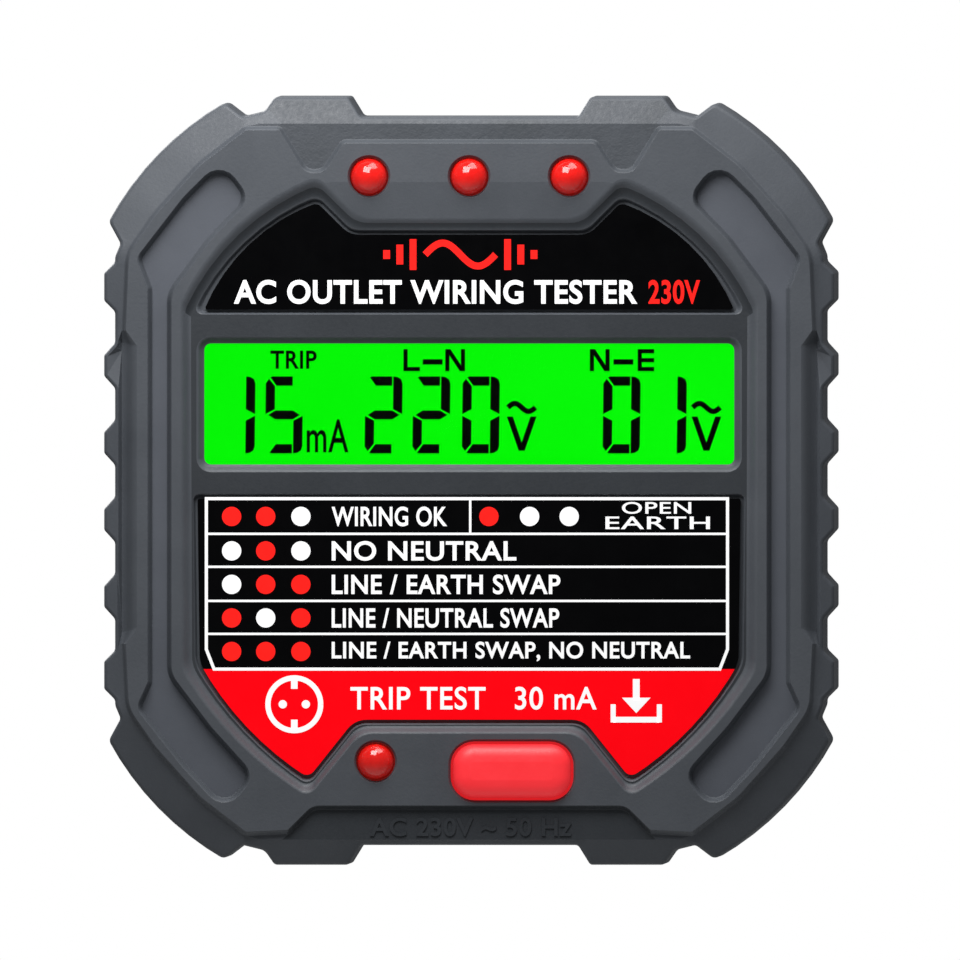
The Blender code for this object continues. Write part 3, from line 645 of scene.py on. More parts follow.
def satin_polyamide():
    """Moulded polyamide of the plug: near black, with a soft satin sheen."""
    finish, tree, shader = blank("satin_polyamide", "#1d1f22", 0.4)
    place = mottled(tree, shader, "#1b1d20", "#222427", 5.0)
    grained(tree, shader, place, 0.35, 0.010, 0.34, 0.48)
    return finish


def nickel_plated_brass():
    """Turned brass under bright nickel: warm white metal with fine lines round the pin."""
    finish, tree, shader = blank("nickel_plated_brass", "#d2cdc2", 0.2, Metallic=1.0)
    place = node(tree, "ShaderNodeTexCoord")
    stretch = node(
        tree,
        "ShaderNodeMapping",
        {"Scale": (0.05, 1.0, 0.05)},
        {"Vector": place.outputs["Object"]},
    )
    lines = node(
        tree,
        "ShaderNodeTexNoise",
        {"Scale": per_metre(0.2), "Detail": 2.0},
        {"Vector": stretch.outputs["Vector"]},
    )
    rough = node(
        tree,
        "ShaderNodeMapRange",
        {"From Min": 0.3, "From Max": 0.7, "To Min": 0.16, "To Max": 0.24},
        {"Value": lines.outputs["Fac"]},
    )
    bump = node(
        tree,
        "ShaderNodeBump",
        {"Strength": 0.2, "Distance": 0.000001},
        {"Height": lines.outputs["Fac"]},
    )
    tree.links.new(rough.outputs["Result"], shader.inputs["Roughness"])
    tree.links.new(bump.outputs["Normal"], shader.inputs["Normal"])
    return finish


def zinc_plated_steel():
    """Zinc-plated screws: cool grey metal, slightly cloudy."""
    finish, tree, shader = blank("zinc_plated_steel", "#b4b7ba", 0.35, Metallic=1.0)
    place = mottled(tree, shader, "#a9acb0", "#c3c5c8", 0.8)
    grained(tree, shader, place, 0.12, 0.003, 0.28, 0.45)
    return finish


def glossy_print_film(name, colour, other, painted_glow=0.0):
    """Label film with the ink under a clear gloss layer: deep colour, faint reflections, and a painted
    glow where one is given.
    """
    finish, tree, shader = blank(name, colour, 0.12, Specular_IOR_Level=0.12)
    # painted glow: the emission brightens the film beyond what the lights give
    shader.inputs["Emission Color"].default_value = linear(colour)
    shader.inputs["Emission Strength"].default_value = painted_glow
    place = mottled(tree, shader, colour, other, 2.5)
    grained(tree, shader, place, 0.9, 0.002, 0.10, 0.17)
    return finish


def screen_ink(name, colour, other, painted_glow):
    """Screen-printed ink: flat and opaque, with a painted glow that makes it brighter than the lights
    make it.
    """
    # painted glow: the emission brightens the ink beyond what the lights give
    finish, tree, shader = blank(name, colour, 0.35, Emission_Strength=painted_glow)
    shader.inputs["Emission Color"].default_value = linear(colour)
    place = mottled(tree, shader, colour, other, 1.2)
    grained(tree, shader, place, 0.15, 0.0005, 0.30, 0.45)
    return finish


def lit_display():
    """Display cell lit from behind: an even bright green, faintly cloudy as a light guide is."""
    finish, tree, shader = blank("lit_display_cell", "#000800", 0.6, Specular_IOR_Level=0.0)
    place = node(tree, "ShaderNodeTexCoord")
    cloud = node(
        tree,
        "ShaderNodeTexNoise",
        {"Scale": per_metre(18.0), "Detail": 1.0},
        {"Vector": place.outputs["Object"]},
    )
    ramp = node(tree, "ShaderNodeValToRGB", links={"Fac": cloud.outputs["Fac"]})
    ramp.color_ramp.elements[0].color = linear("#00f200")
    ramp.color_ramp.elements[1].color = linear("#06fb06")
    tree.links.new(ramp.outputs["Color"], shader.inputs["Emission Color"])
    shader.inputs["Emission Strength"].default_value = 1.0
    return finish


def display_segment():
    """Dark liquid-crystal segments: neutral black, barely glossy."""
    finish, tree, shader = blank("display_segment", "#010101", 0.5, Specular_IOR_Level=0.0)
    place = mottled(tree, shader, "#010101", "#030403", 1.0)
    grained(tree, shader, place, 0.3, 0.001, 0.45, 0.55)
    return finish


def clear_acrylic():
    """Polished clear window: seen only by its faint reflections."""
    finish, tree, shader = blank(
        "clear_acrylic", "#ffffff", 0.03, IOR=1.15, Transmission_Weight=1.0
    )
    place = node(tree, "ShaderNodeTexCoord")
    grained(tree, shader, place, 6.0, 0.001, 0.02, 0.04)
    return finish


def lamp_resin():
    """Red tinted casting resin of the lamps: glossy, and glowing where light passes it."""
    finish, tree, shader = blank(
        "red_lamp_resin",
        "#e01410",
        0.08,
        IOR=1.52,
        Subsurface_Weight=0.35,
        Subsurface_Scale=0.0012,
        Coat_Weight=0.4,
        Coat_Roughness=0.16,
        Emission_Strength=0.12,
    )
    shader.inputs["Emission Color"].default_value = linear("#e8261c")
    shader.inputs["Subsurface Radius"].default_value = (1.0, 0.12, 0.08)
    place = mottled(tree, shader, "#d8120e", "#e81c16", 1.5)
    grained(tree, shader, place, 2.0, 0.001, 0.06, 0.11)
    return finish


def red_abs():
    """The button's red ABS under a satin skin that spreads highlights, with a painted glow: its
    emission makes the red brighter than the lights make it.
    """
    # painted glow: this emission brightens the red beyond what the lights give
    finish, tree, shader = blank("red_abs", "#f22b33", 0.42, Emission_Strength=0.42)
    shader.inputs["Emission Color"].default_value = linear("#fa3038")
    place = mottled(tree, shader, "#ee2930", "#f5343b", 3.0)
    grained(tree, shader, place, 0.30, 0.006, 0.38, 0.5)
    return finish


def plain_moulding(name, colour, other, roughness=0.45):
    """Small moulded or dipped parts inside: plain colour, slightly uneven."""
    finish, tree, shader = blank(name, colour, roughness)
    place = mottled(tree, shader, colour, other, 2.0)
    grained(tree, shader, place, 0.4, 0.006, roughness - 0.06, roughness + 0.08)
    return finish


def bare_metal(name, colour, other, roughness=0.35):
    """Tinned cans and tags inside: soft bright metal with a cloudy skin."""
    finish, tree, shader = blank(name, colour, roughness, Metallic=1.0)
    place = mottled(tree, shader, colour, other, 1.5)
    grained(tree, shader, place, 0.2, 0.002, roughness - 0.08, roughness + 0.1)
    return finish


def white_paper():
    """Matt studio floor: warm white paper with a barely visible tooth."""
    finish, tree, shader = blank("white_paper", "#f4f4f2", 0.8)
    place = mottled(tree, shader, "#f2f2f0", "#f7f7f5", 40.0)
    grained(tree, shader, place, 3.0, 0.02, 0.75, 0.85)
    return finish


MADE = {}


def finish_of(name):
    """Each material once, by name."""
    makers = {
        "housing": lambda: spark_eroded_abs("spark_eroded_abs", "#4a4e54", "#51555b", 0.28, 0.016),
        "housing_coarse": lambda: spark_eroded_abs(
            "coarse_spark_eroded_abs", "#43474c", "#4b4f55", 0.42, 0.045
        ),
        # painted sheen: the channels' lighter grey stands in for light reflected by their smoother
        # floors
        "housing_channel": lambda: spark_eroded_abs(
            "fine_spark_eroded_abs_painted_sheen", "#555961", "#5b5f67", 0.20, 0.008
        ),
        "housing_slab": lambda: spark_eroded_abs(
            "smooth_spark_eroded_abs", "#2d3136", "#33373c", 0.24, 0.012
        ),
        "plug": satin_polyamide,
        "pin": nickel_plated_brass,
        "screw": zinc_plated_steel,
        "label": lambda: glossy_print_film("black_label_film", "#030304", "#060607"),
        # painted glow on the red film and on both inks: the last number is their emission
        "red_label": lambda: glossy_print_film("red_label_film", "#f4020f", "#f80512", 0.40),
        "white_ink": lambda: screen_ink("white_screen_ink", "#f6f6f6", "#fbfbfb", 0.35),
        "red_ink": lambda: screen_ink("red_screen_ink", "#f8140c", "#fb1a10", 0.35),
        "lcd": lit_display,
        "segment": display_segment,
        "window": clear_acrylic,
        "lamp": lamp_resin,
        "button": red_abs,
        "black": lambda: plain_moulding("black_moulding", "#18181a", "#202022"),
        "guide": lambda: plain_moulding("green_light_guide", "#3ce03c", "#48e848", 0.3),
        "contact": lambda: plain_moulding("contact_elastomer", "#8a8a8e", "#77777b", 0.7),
        "board": lambda: plain_moulding("green_solder_mask", "#14592c", "#17632f", 0.35),
        "film_case": lambda: plain_moulding("yellow_film_case", "#d9a520", "#dfae2a", 0.4),
        "sleeve": lambda: plain_moulding("capacitor_sleeve", "#20284a", "#242d54", 0.3),
        "blue": lambda: plain_moulding("blue_dip_coating", "#1d4fa8", "#2358b4", 0.35),
        "sand": lambda: plain_moulding("resistor_lacquer", "#b39a6c", "#bda474", 0.5),
        "fuse_tube": lambda: plain_moulding("fuse_ceramic", "#e6e4dc", "#efede6", 0.3),
        "brown": lambda: plain_moulding("brown_insulation", "#5a2f18", "#643619", 0.4),
        "green": lambda: plain_moulding("green_insulation", "#3e9a2c", "#48a835", 0.4),
        "tin": lambda: bare_metal("tinned_steel", "#c2c2c4", "#adadb0"),
        "paper": white_paper,
    }
    if name not in MADE:
        MADE[name] = makers[name]()
    return MADE[name]


# ---------------------------------------------------------------- printed marks


class Print:
    """Thin printed shapes on a face that looks along -Y, gathered into one mesh."""

    def __init__(self, face_y, thick=0.00003):
        self.mesh = bmesh.new()
        self.face_y = face_y
        self.thick = thick

    def shape(self, points):
        """A convex or simple closed shape, raised from the face."""
        front = [self.mesh.verts.new((p[0], self.face_y - self.thick, p[1])) for p in points]
        back = [self.mesh.verts.new((p[0], self.face_y, p[1])) for p in points]
        self.mesh.faces.new(front)
        self.mesh.faces.new(list(reversed(back)))
        for index in range(len(points)):
            after = (index + 1) % len(points)
            self.mesh.faces.new((front[index], back[index], back[after], front[after]))

    def bar(self, start, end, width):
        """A straight stroke between two points."""
        start, end = Vector(start), Vector(end)
        along = (end - start).normalized()
        across = Vector((-along.y, along.x)) * (width / 2)
        self.shape([start + across, end + across, end - across, start - across])

    def line(self, path, width):
        """A bent stroke, mitred at its corners."""
        path = [Vector(point) for point in path]
        left, right = [], []
        for index, here in enumerate(path):
            before = (here - path[index - 1]).normalized() if index else None
            after = (path[index + 1] - here).normalized() if index + 1 < len(path) else None
            along = ((before or after) + (after or before)).normalized()
            across = Vector((-along.y, along.x))
            straight = before or after
            across *= width / 2 / max(abs(across.dot(Vector((-straight.y, straight.x)))), 0.4)
            left.append(here + across)
            right.append(here - across)
        for index in range(len(path) - 1):
            after = index + 1
            self.shape([left[index], left[after], right[after], right[index]])

    def dot(self, x, z, radius, steps=32):
        self.shape(circle(x, z, radius, steps))

    def ring(self, x, z, radius, width, steps=48):
        path = []
        for step in range(steps + 1):
            angle = math.radians(360.0 * step / steps)
            path.append((x + radius * math.cos(angle), z + radius * math.sin(angle)))
        self.line(path, width)

    def words(self, text, low_x, low_z, high_x, high_z, weight):
        """Text stretched to fill a box; weight thickens the strokes."""
        curve = bpy.data.curves.new("words", "FONT")
        curve.body = text
        curve.offset = weight
        curve.space_character = 1.06  # room for the thickened strokes
        curve.resolution_u = 6
        item = bpy.data.objects.new("words", curve)
        bpy.context.scene.collection.objects.link(item)
        bpy.context.view_layer.update()
        graph = bpy.context.evaluated_depsgraph_get()
        flat = bpy.data.meshes.new_from_object(item.evaluated_get(graph))
        letters = bmesh.new()
        letters.from_mesh(flat)
        bpy.data.objects.remove(item)
        bpy.data.curves.remove(curve)
        bpy.data.meshes.remove(flat)
        xs = [vert.co.x for vert in letters.verts]
        zs = [vert.co.y for vert in letters.verts]
        scale_x = (high_x - low_x) / (max(xs) - min(xs))
        scale_z = (high_z - low_z) / (max(zs) - min(zs))
        bmesh.ops.remove_doubles(letters, verts=letters.verts, dist=1e-5)
        for vert in letters.verts:
            x = low_x + (vert.co.x - min(xs)) * scale_x
            z = low_z + (vert.co.y - min(zs)) * scale_z
            vert.co = (x, self.face_y - self.thick, z)
        grown = bmesh.ops.extrude_face_region(letters, geom=letters.faces[:])
        for item in grown["geom"]:
            if isinstance(item, bmesh.types.BMVert):
                item.co.y = self.face_y
        joined = bpy.data.meshes.new("letters")
        letters.to_mesh(joined)
        letters.free()
        self.mesh.from_mesh(joined)
        bpy.data.meshes.remove(joined)

    def made(self, name, finish, body=BODY, slot_name="label"):
        bmesh.ops.recalc_face_normals(self.mesh, faces=self.mesh.faces)
        mesh = bpy.data.meshes.new(name)
        self.mesh.to_mesh(mesh)
        self.mesh.free()
        mesh.shade_flat()
        mesh.materials.append(finish)
        piece = bpy.data.objects.new(name, mesh)
        bpy.context.scene.collection.objects.link(piece)
        settle(piece, body, slot_name)


# ---------------------------------------------------------------- settings


class TesterSettings(bpy.types.PropertyGroup):
    """Sizes and words that a user of the tester would change."""

    edge_round: bpy.props.FloatProperty(
        name="Edge rounding",
        description="Rounding of the housing's outer edge",
        default=0.0003,
        min=0.0001,
        unit="LENGTH",
    )
    step_width: bpy.props.FloatProperty(
        name="Channel wall width",
        description="Width of the rounded walls of the side channels",
        default=0.00045,
        min=0.0001,
        unit="LENGTH",
    )
    title: bpy.props.StringProperty(
        name="Title",
        description="Generic words on the upper label",
        default="AC OUTLET WIRING TESTER",
    )
    readings: bpy.props.StringProperty(
        name="Readings",
        description="Trip current, mains voltage and neutral to earth voltage on the display",
        default="15 220 01",
    )


class StudioSettings(bpy.types.PropertyGroup):
    """The camera and the lights."""

    view_width: bpy.props.FloatProperty(
        name="View width",
        description="Width of the orthographic view",
        default=0.0873,
        unit="LENGTH",
    )
    azimuth: bpy.props.FloatProperty(
        name="Azimuth",
        description="How far the camera stands round to the right of the front",
        default=math.radians(0.8),
        subtype="ANGLE",
    )
    elevation: bpy.props.FloatProperty(
        name="Elevation",
        description="How far the camera looks down",
        default=math.radians(0.3),
        subtype="ANGLE",
    )
    key_power: bpy.props.FloatProperty(
        name="Key light",
        description="Power of the large light above and to the left, in watts",
        default=0.24,
    )
    top_power: bpy.props.FloatProperty(
        name="Top light",
        description="Power of the light high above the object, in watts",
        default=0.36,
    )
    back_power: bpy.props.FloatProperty(
        name="Back light",
        description="Power of the light behind the object, in watts",
        default=2.2,
    )
    backdrop: bpy.props.FloatVectorProperty(
        name="Backdrop",
        description="Colour behind the object",
        subtype="COLOR",
        size=3,
        default=(1.0, 1.0, 1.0),
    )


# ---------------------------------------------------------------- housing


def rim_depth(point):
    """The y of the sloping rim: just below the crown, falling away outwards."""
    return FRONT_Y + RIM_DEPTH + 0.40 * outside_hull(point)


def plateau_depth(point):
    """The y of the crown's face, which leans back between the crease and the dish."""
    ahead = min(max((CREASE_Z - point.y) / 0.0032, 0.0), 1.0)
    within = min(max((0.0145 - abs(point.x)) / 0.0025, 0.0), 1.0)
    return FRONT_Y + CREASE_DROP * ahead * within * (point.y > 0)


def crown_foot_depth(point):
    """The y of the crown's foot, deeper beside the sloping side panels."""
    beside = abs(point.x) > 0.031 and -0.0141 < point.y < 0.0130
    return FRONT_Y + (SIDE_PANEL_DEPTH if beside else RIM_DEPTH)


def crown_top_corners():
    """The crown's upper edge: its foot moved in, and further beside the side panels."""
    corners = []
    for x, z, radius, *rest in shrunk(both_sides(HALF_CROWN), CROWN_STEP):
        if abs(x) > 0.031 and -0.0138 < z < 0.0128:
            x = math.copysign(INSET_X, x)
        corners.append((x, z, radius, *rest))
    return corners


def outer_edge(skin, corners, edge_round, top_of, steps=4):
    """Loops of the silhouette, rounded over from the side wall onto the face."""
    loops = []
    for step in range(steps + 1):
        angle = math.pi / 2 * step / steps
        points = outline(corners, edge_round * (1 - math.cos(angle)))
        drop = edge_round * (1 - math.sin(angle))
        loops.append(skin.loop(points, lambda p, drop=drop: top_of(p, drop)))
    return loops


def rim_zone(point):
    """The coarse-grained band above the lamps and the smooth one below the button."""
    if abs(point.x) < 0.0176 and point.y > 0.0280:
        return COARSE_ZONE
    if abs(point.x) < 0.0165 and -0.0326 < point.y < -0.0290:
        return SLAB_ZONE
    return 0


def dish_zone(point):
    """The smooth finish of the display's frame, which runs up the wall round the upper label."""
    return SLAB_ZONE if point.y > 0.0132 else 0


def column(skin, x, z, radius, bore, from_y, to_y, bore_end_y):
    """A post from a wall with a blind or through bore; returns its foot loop and bore end."""
    foot = skin.loop(circle(x, z, radius, 32), from_y)
    end = skin.loop(circle(x, z, radius, 32), to_y)
    mouth = skin.loop(circle(x, z, bore, 24), to_y)
    bottom = skin.loop(circle(x, z, bore, 24), bore_end_y)
    skin.wall(foot, end)
    skin.fill(end, [mouth])
    skin.wall(mouth, bottom)
    return foot, bottom


# Finishes of the front shell's zones: the tool's spark-eroded surface differs between them, and the
# channels' lighter grey is a painted sheen
FRONT_FINISHES = ("housing", "housing_coarse", "housing_channel", "housing_slab")
COARSE_ZONE, CHANNEL_ZONE, SLAB_ZONE = 1, 2, 3
CREASE_PARTS = (
    (-0.0124, -0.0119, -0.0114),
    (-0.0068, -0.0046, -0.0023),
    (0.0023, 0.0046, 0.0068),
    (0.0114, 0.0119, 0.0124),
)


class OUTLET_OT_front_housing(bpy.types.Operator):
    """Moulds the front shell"""

    bl_idname = "outlet.front_housing"
    bl_label = "Front housing"

    def execute(self, context):
        sizes = context.scene.tester
        skin = Skin()
        corners = body_corners()

        def top_of(point, drop):
            return rim_depth(point) + drop

        edge = outer_edge(skin, corners, sizes.edge_round, top_of)
        split = skin.loop(outline(corners), FRONT_SPLIT_Y)
        skin.walls([split, *edge])

        foot = outline(both_sides(HALF_CROWN))
        top = outline(crown_top_corners())
        crown = lofted(skin, foot, top, crown_foot_depth, plateau_depth, 5)
        skin.walls(crown, rim_zone)
        folds = []
        for z in RIM_FOLDS:
            points = [Vector((x / 1000, z)) for x in range(-19, 20, 2)]
            folds.append(skin.loop(points, FRONT_Y + RIM_DEPTH))
        skin.fill(edge[-1], [crown[0]], zone_of=rim_zone, creases=folds, kind=SLOPING)

        channels = []
        for side in (-1, 1):
            args = (FRONT_Y, FRONT_Y + CHANNEL_DEPTH, sizes.step_width)
            loops = sunk(skin, channel_corners(side), *args)
            skin.fill(loops[-1], zone=CHANNEL_ZONE)
            channels.append(loops[0])

        slab_y = FRONT_Y + SLAB_DEPTH
        shoulder = outline(both_sides(HALF_SHOULDER))
        foot = outline(both_sides(HALF_DISH))
        dish = lofted(skin, shoulder, foot, plateau_depth, lambda point: slab_y, 10)
        half_way = len(dish) // 2
        skin.walls(dish[: half_way + 1])
        skin.walls(dish[half_way:], dish_zone)
        floor_y = FRONT_Y + LABEL_FLOOR_DEPTH
        recesses = []
        for half in (HALF_UPPER_RECESS, HALF_LOWER_RECESS):
            loops = sunk(skin, both_sides(half), slab_y, floor_y, 0.00025)
            skin.fill(loops[-1])
            recesses.append(loops[0])
        window = box_corners(-WINDOW_X, WINDOW_LOW, WINDOW_X, WINDOW_HIGH, 0.0006)
        window_loops = sunk(skin, window, slab_y, WINDOW_Y - 0.00015, 0.0007)
        skin.fill(dish[-1], [*recesses, window_loops[0]], zone=SLAB_ZONE)

        holes, inner_holes = self.openings(skin)
        creases = [
            skin.loop([Vector((x, CREASE_Z)) for x in ends], FRONT_Y) for ends in CREASE_PARTS
        ]
        skin.fill(crown[-1], [*channels, dish[0], *holes], creases=creases)

        inner_window = skin.loop(outline(window), FRONT_WALL_Y)
        skin.wall(window_loops[-1], inner_window)
        inner_holes.append(inner_window)
        for screw in HOUSING_SCREWS:
            place = middle(screw)
            args = (FRONT_POST_RADIUS, SCREW_BORE_RADIUS, FRONT_WALL_Y, FRONT_SPLIT_Y)
            post_foot, bottom = column(skin, place.x, place.z, *args, FRONT_SPLIT_Y - 0.008)
            skin.fill(bottom)
            inner_holes.append(post_foot)
        cavity = all_round(QUARTER_CAVITY)
        inner = skin.loop(outline(cavity), FRONT_WALL_Y)
        mouth = skin.loop(outline(cavity), FRONT_SPLIT_Y)
        skin.fill(inner, inner_holes)
        skin.wall(inner, mouth)
        skin.fill(split, [mouth])

        words = Print(FRONT_Y + RIM_DEPTH, 0.00012)
        words.words("AC 230V ~ 50 Hz", -0.0090, -0.0323, 0.0093, -0.0306, 0.020)
        words.made("rating_relief", finish_of("housing_slab"), BODY, "housing")
        finishes = [finish_of(name) for name in FRONT_FINISHES]
        shell = skin.made("front_shell", finishes)
        settle(shell, BODY, "housing", "front_housing")
        return {"FINISHED"}

    def openings(self, skin):
        """Lamp and button holes: their rims on the crown and their ends on the inner wall."""
        rims, ends = [], []
        for lamp in LAMPS:
            place = middle(lamp)
            loops = []
            for across, down in eased(4):
                points = circle(place.x, place.z, LAMP_HOLE_RADIUS + 0.00018 * (1 - across))
                sink = 0.0003 * down
                loops.append(skin.loop(points, lambda p, sink=sink: plateau_depth(p) + sink))
            loops.append(skin.loop(circle(place.x, place.z, LAMP_HOLE_RADIUS), FRONT_WALL_Y))
            skin.walls(loops)
            rims.append(loops[0])
            ends.append(loops[-1])
        corners = button_corners(BUTTON_GAP)
        loops = sunk(skin, corners, FRONT_Y, FRONT_Y + 0.00025, 0.0002, 4, 8)
        loops.append(skin.loop(outline(corners, 0.0, 8), FRONT_WALL_Y))
        skin.wall(loops[-2], loops[-1])
        rims.append(loops[0])
        ends.append(loops[-1])
        return rims, ends


BACK_EDGE_ROUND = 0.0009
PANEL_X, PANEL_HEIGHTS = 0.0140, (0.0212, 0.0300)  # shallow sunk panels on the back


class OUTLET_OT_rear_housing(bpy.types.Operator):
    """Moulds the rear shell"""

    bl_idname = "outlet.rear_housing"
    bl_label = "Rear housing"

    def execute(self, context):
        skin = Skin()
        corners = body_corners()
        split = skin.loop(outline(corners), REAR_SPLIT_Y)
        loops = [split]
        edge = BACK_EDGE_ROUND
        for step in range(7):
            angle = math.pi / 2 * step / 6
            points = outline(corners, edge * (1 - math.cos(angle)))
            loops.append(skin.loop(points, BACK_Y - 2 * edge * (1 - math.sin(angle))))
        skin.walls(loops)

        bores, posts = [], []
        for screw in HOUSING_SCREWS:
            x, z = middle(screw).x, middle(screw).z
            rim = []
            for wider, deeper in HEAD_BORE_RIM:
                points = circle(x, z, HEAD_BORE_RADIUS + wider, 40)
                rim.append(skin.loop(points, BACK_Y - deeper))
            seat_y = BACK_Y - HEAD_BORE_DEPTH
            rim.append(skin.loop(circle(x, z, HEAD_BORE_RADIUS, 40), seat_y))
            skin.walls(rim)
            args = (REAR_POST_RADIUS, SHANK_BORE_RADIUS, BACK_WALL_Y, REAR_SPLIT_Y, seat_y)
            foot, bottom = column(skin, x, z, *args)
            skin.fill(rim[-1], [bottom])
            bores.append(rim[0])
            posts.append(foot)

        panels = []
        near_z, far_z = PANEL_HEIGHTS
        for low_z, high_z in ((near_z, far_z), (-far_z, -near_z)):
            panel = box_corners(-PANEL_X, low_z, PANEL_X, high_z, 0.0012)
            panel_loops = sunk(skin, panel, BACK_Y, BACK_Y - 0.0003, 0.0003, 4)
            skin.fill(panel_loops[-1])
            panels.append(panel_loops[0])

        neck_rim = skin.loop(circle(0.0, 0.0, NECK_RADIUS, 64), BACK_Y)
        neck_end = skin.loop(circle(0.0, 0.0, NECK_RADIUS, 64), BACK_WALL_Y)
        skin.wall(neck_rim, neck_end)
        skin.fill(loops[-1], [*bores, *panels, neck_rim])

        cavity = all_round(QUARTER_CAVITY)
        inner = skin.loop(outline(cavity), BACK_WALL_Y)
        mouth = skin.loop(outline(cavity), REAR_SPLIT_Y)
        skin.fill(inner, [*posts, neck_end])
        skin.wall(inner, mouth)
        skin.fill(split, [mouth])
        shell = skin.made("rear_shell", [finish_of("housing")])
        settle(shell, BODY, "housing", "rear_housing")
        return {"FINISHED"}


# ---------------------------------------------------------------- labels

TABLE_ROWS = (-0.0016, -0.0048, -0.0078, -0.0109, -0.0139, -0.0171)
TABLE_BOTTOM = TABLE_ROWS[-1]
TABLE_DIVIDER = 0.0001
DOT_RADIUS = 0.00088
HALF_LINE = 0.0009  # half the height of a line of capitals
TEXT_LEFT = -0.0125
LEFT_DOTS = (-0.0216, -0.0185, -0.0153)
RIGHT_DOTS = (0.0018, 0.0055, 0.0091)
TABLE_TEXT = (  # lamps from the left, height, words and their right end
    ("RRW", -0.00322, "WIRING OK", -0.0020),
    ("WRW", -0.00635, "NO NEUTRAL", 0.0043),
    ("WRR", -0.00940, "LINE / EARTH SWAP", 0.0083),
    ("RWR", -0.01245, "LINE / NEUTRAL SWAP", 0.0082),
    ("RRR", -0.01550, "LINE / EARTH SWAP, NO NEUTRAL", 0.0201),
)


def label_plate(name, half, finishes, split_z=None):
    """A label plate; below split_z it takes the second finish."""
    skin = Skin()
    points = outline(both_sides(half), LABEL_MARGIN)
    front = skin.loop(points, LABEL_FACE_Y)
    back = skin.loop(points, LABEL_BACK_Y)
    skin.wall(front, back)
    skin.fill(front)
    skin.fill(back)
    if split_z is not None:
        bmesh.ops.bisect_plane(
            skin.mesh,
            geom=skin.mesh.verts[:] + skin.mesh.edges[:] + skin.mesh.faces[:],
            plane_co=(0.0, 0.0, split_z),
            plane_no=(0.0, 0.0, 1.0),
        )
        for face in skin.mesh.faces:
            face.material_index = 1 if face.calc_center_median().z < split_z else 0
    return skin.made(name, finishes, weighted=False)


class OUTLET_OT_labels(bpy.types.Operator):
    """Makes the two printed labels"""

    bl_idname = "outlet.labels"
    bl_label = "Labels"

    def execute(self, context):
        black, red = finish_of("label"), finish_of("red_label")
        upper = label_plate("upper_label_film", HALF_UPPER_RECESS, [black])
        settle(upper, BODY, "label", "upper_label")
        lower = label_plate("lower_label_film", HALF_LOWER_RECESS, [black, red], TABLE_BOTTOM)
        settle(lower, BODY, "label", "lower_label")
        self.upper_marks(context.scene.tester.title)
        self.table_frame()
        self.table_rows()
        self.strip_marks()
        return {"FINISHED"}

    def upper_marks(self, title):
        words = Print(LABEL_FACE_Y)
        words.words(title, -0.0214, 0.0161, 0.0153, 0.0183, 0.028)
        words.made("title_print", finish_of("white_ink"))
        badge = Print(LABEL_FACE_Y)
        badge.words("230V", 0.0163, 0.0161, 0.0210, 0.0183, 0.026)
        wave_badge(badge, -0.0008, 0.0206)
        badge.made("wave_badge_print", finish_of("red_ink"))

    def table_frame(self):
        lines = Print(LABEL_FACE_Y)
        left, right, stroke, rule = -0.0239, 0.0235, 0.00028, 0.00021
        top, bottom = TABLE_ROWS[0], TABLE_BOTTOM
        border = [
            (0.0, bottom),
            (right - 0.0007, bottom),
            (right, bottom + 0.0018),
            (right, top),
            (left, top),
            (left, bottom + 0.0018),
            (left + 0.0007, bottom),
            (0.0, bottom),
        ]
        lines.line(border, stroke)
        inner_left, inner_right = left + stroke / 2, right - stroke / 2
        for z in TABLE_ROWS[1:-1]:
            lines.bar((inner_left, z), (inner_right, z), rule)
        low_z, high_z = TABLE_ROWS[1] + rule / 2, TABLE_ROWS[0] - stroke / 2
        lines.bar((TABLE_DIVIDER, low_z), (TABLE_DIVIDER, high_z), rule)
        lines.made("table_lines_print", finish_of("white_ink"))

    def table_rows(self):
        white, red, words = Print(LABEL_FACE_Y), Print(LABEL_FACE_Y), Print(LABEL_FACE_Y)
        colours = {"W": white, "R": red}
        for colour, x in zip("RWW", RIGHT_DOTS):
            colours[colour].dot(x, TABLE_TEXT[0][1], DOT_RADIUS)
        for dots, z, text, text_right in TABLE_TEXT:
            for colour, x in zip(dots, LEFT_DOTS):
                colours[colour].dot(x, z, DOT_RADIUS)
            words.words(text, TEXT_LEFT, z - HALF_LINE, text_right, z + HALF_LINE, 0.022)
        words.words("OPEN", 0.0139, -0.00298, 0.0202, -0.00190, 0.009)
        words.words("EARTH", 0.0124, -0.00437, 0.0219, -0.00322, 0.009)
        white.made("white_dots_print", finish_of("white_ink"))
        red.made("red_dots_print", finish_of("red_ink"))
        words.made("table_words_print", finish_of("white_ink"))

    def strip_marks(self):
        marks = Print(LABEL_FACE_Y)
        marks.words("TRIP TEST   30 mA", -0.0108, -0.0208, 0.0116, -0.0187, 0.014)
        socket_mark(marks, -0.0159, -0.0203)
        press_mark(marks, 0.0152, -0.0201)
        marks.made("strip_print", finish_of("white_ink"))


def wave_badge(marks, x, z):
    """A mains sine wave between two rows of bars."""
    path, stroke = [], 0.00062
    for step in range(33):
        turn = 2 * math.pi * step / 32
        path.append((x - 0.0032 + 0.0064 * step / 32, z + 0.00105 * math.sin(turn)))
    marks.line(path, stroke)
    for side in (-1, 1):
        for out, rise in ((0.0043, 0.0014), (0.0055, 0.0009), (0.0067, 0.0004)):
            marks.bar((x + side * out, z - rise), (x + side * out, z + rise), stroke)


def socket_mark(marks, x, z):
    """A round outlet seen from the front, with two holes and its earth contacts."""
    marks.ring(x, z, 0.0024, 0.00048)
    for side in (-1, 1):
        marks.dot(x + side * 0.00105, z, 0.00038)
        marks.bar((x, z + side * 0.0022), (x, z + side * 0.0014), 0.0006)


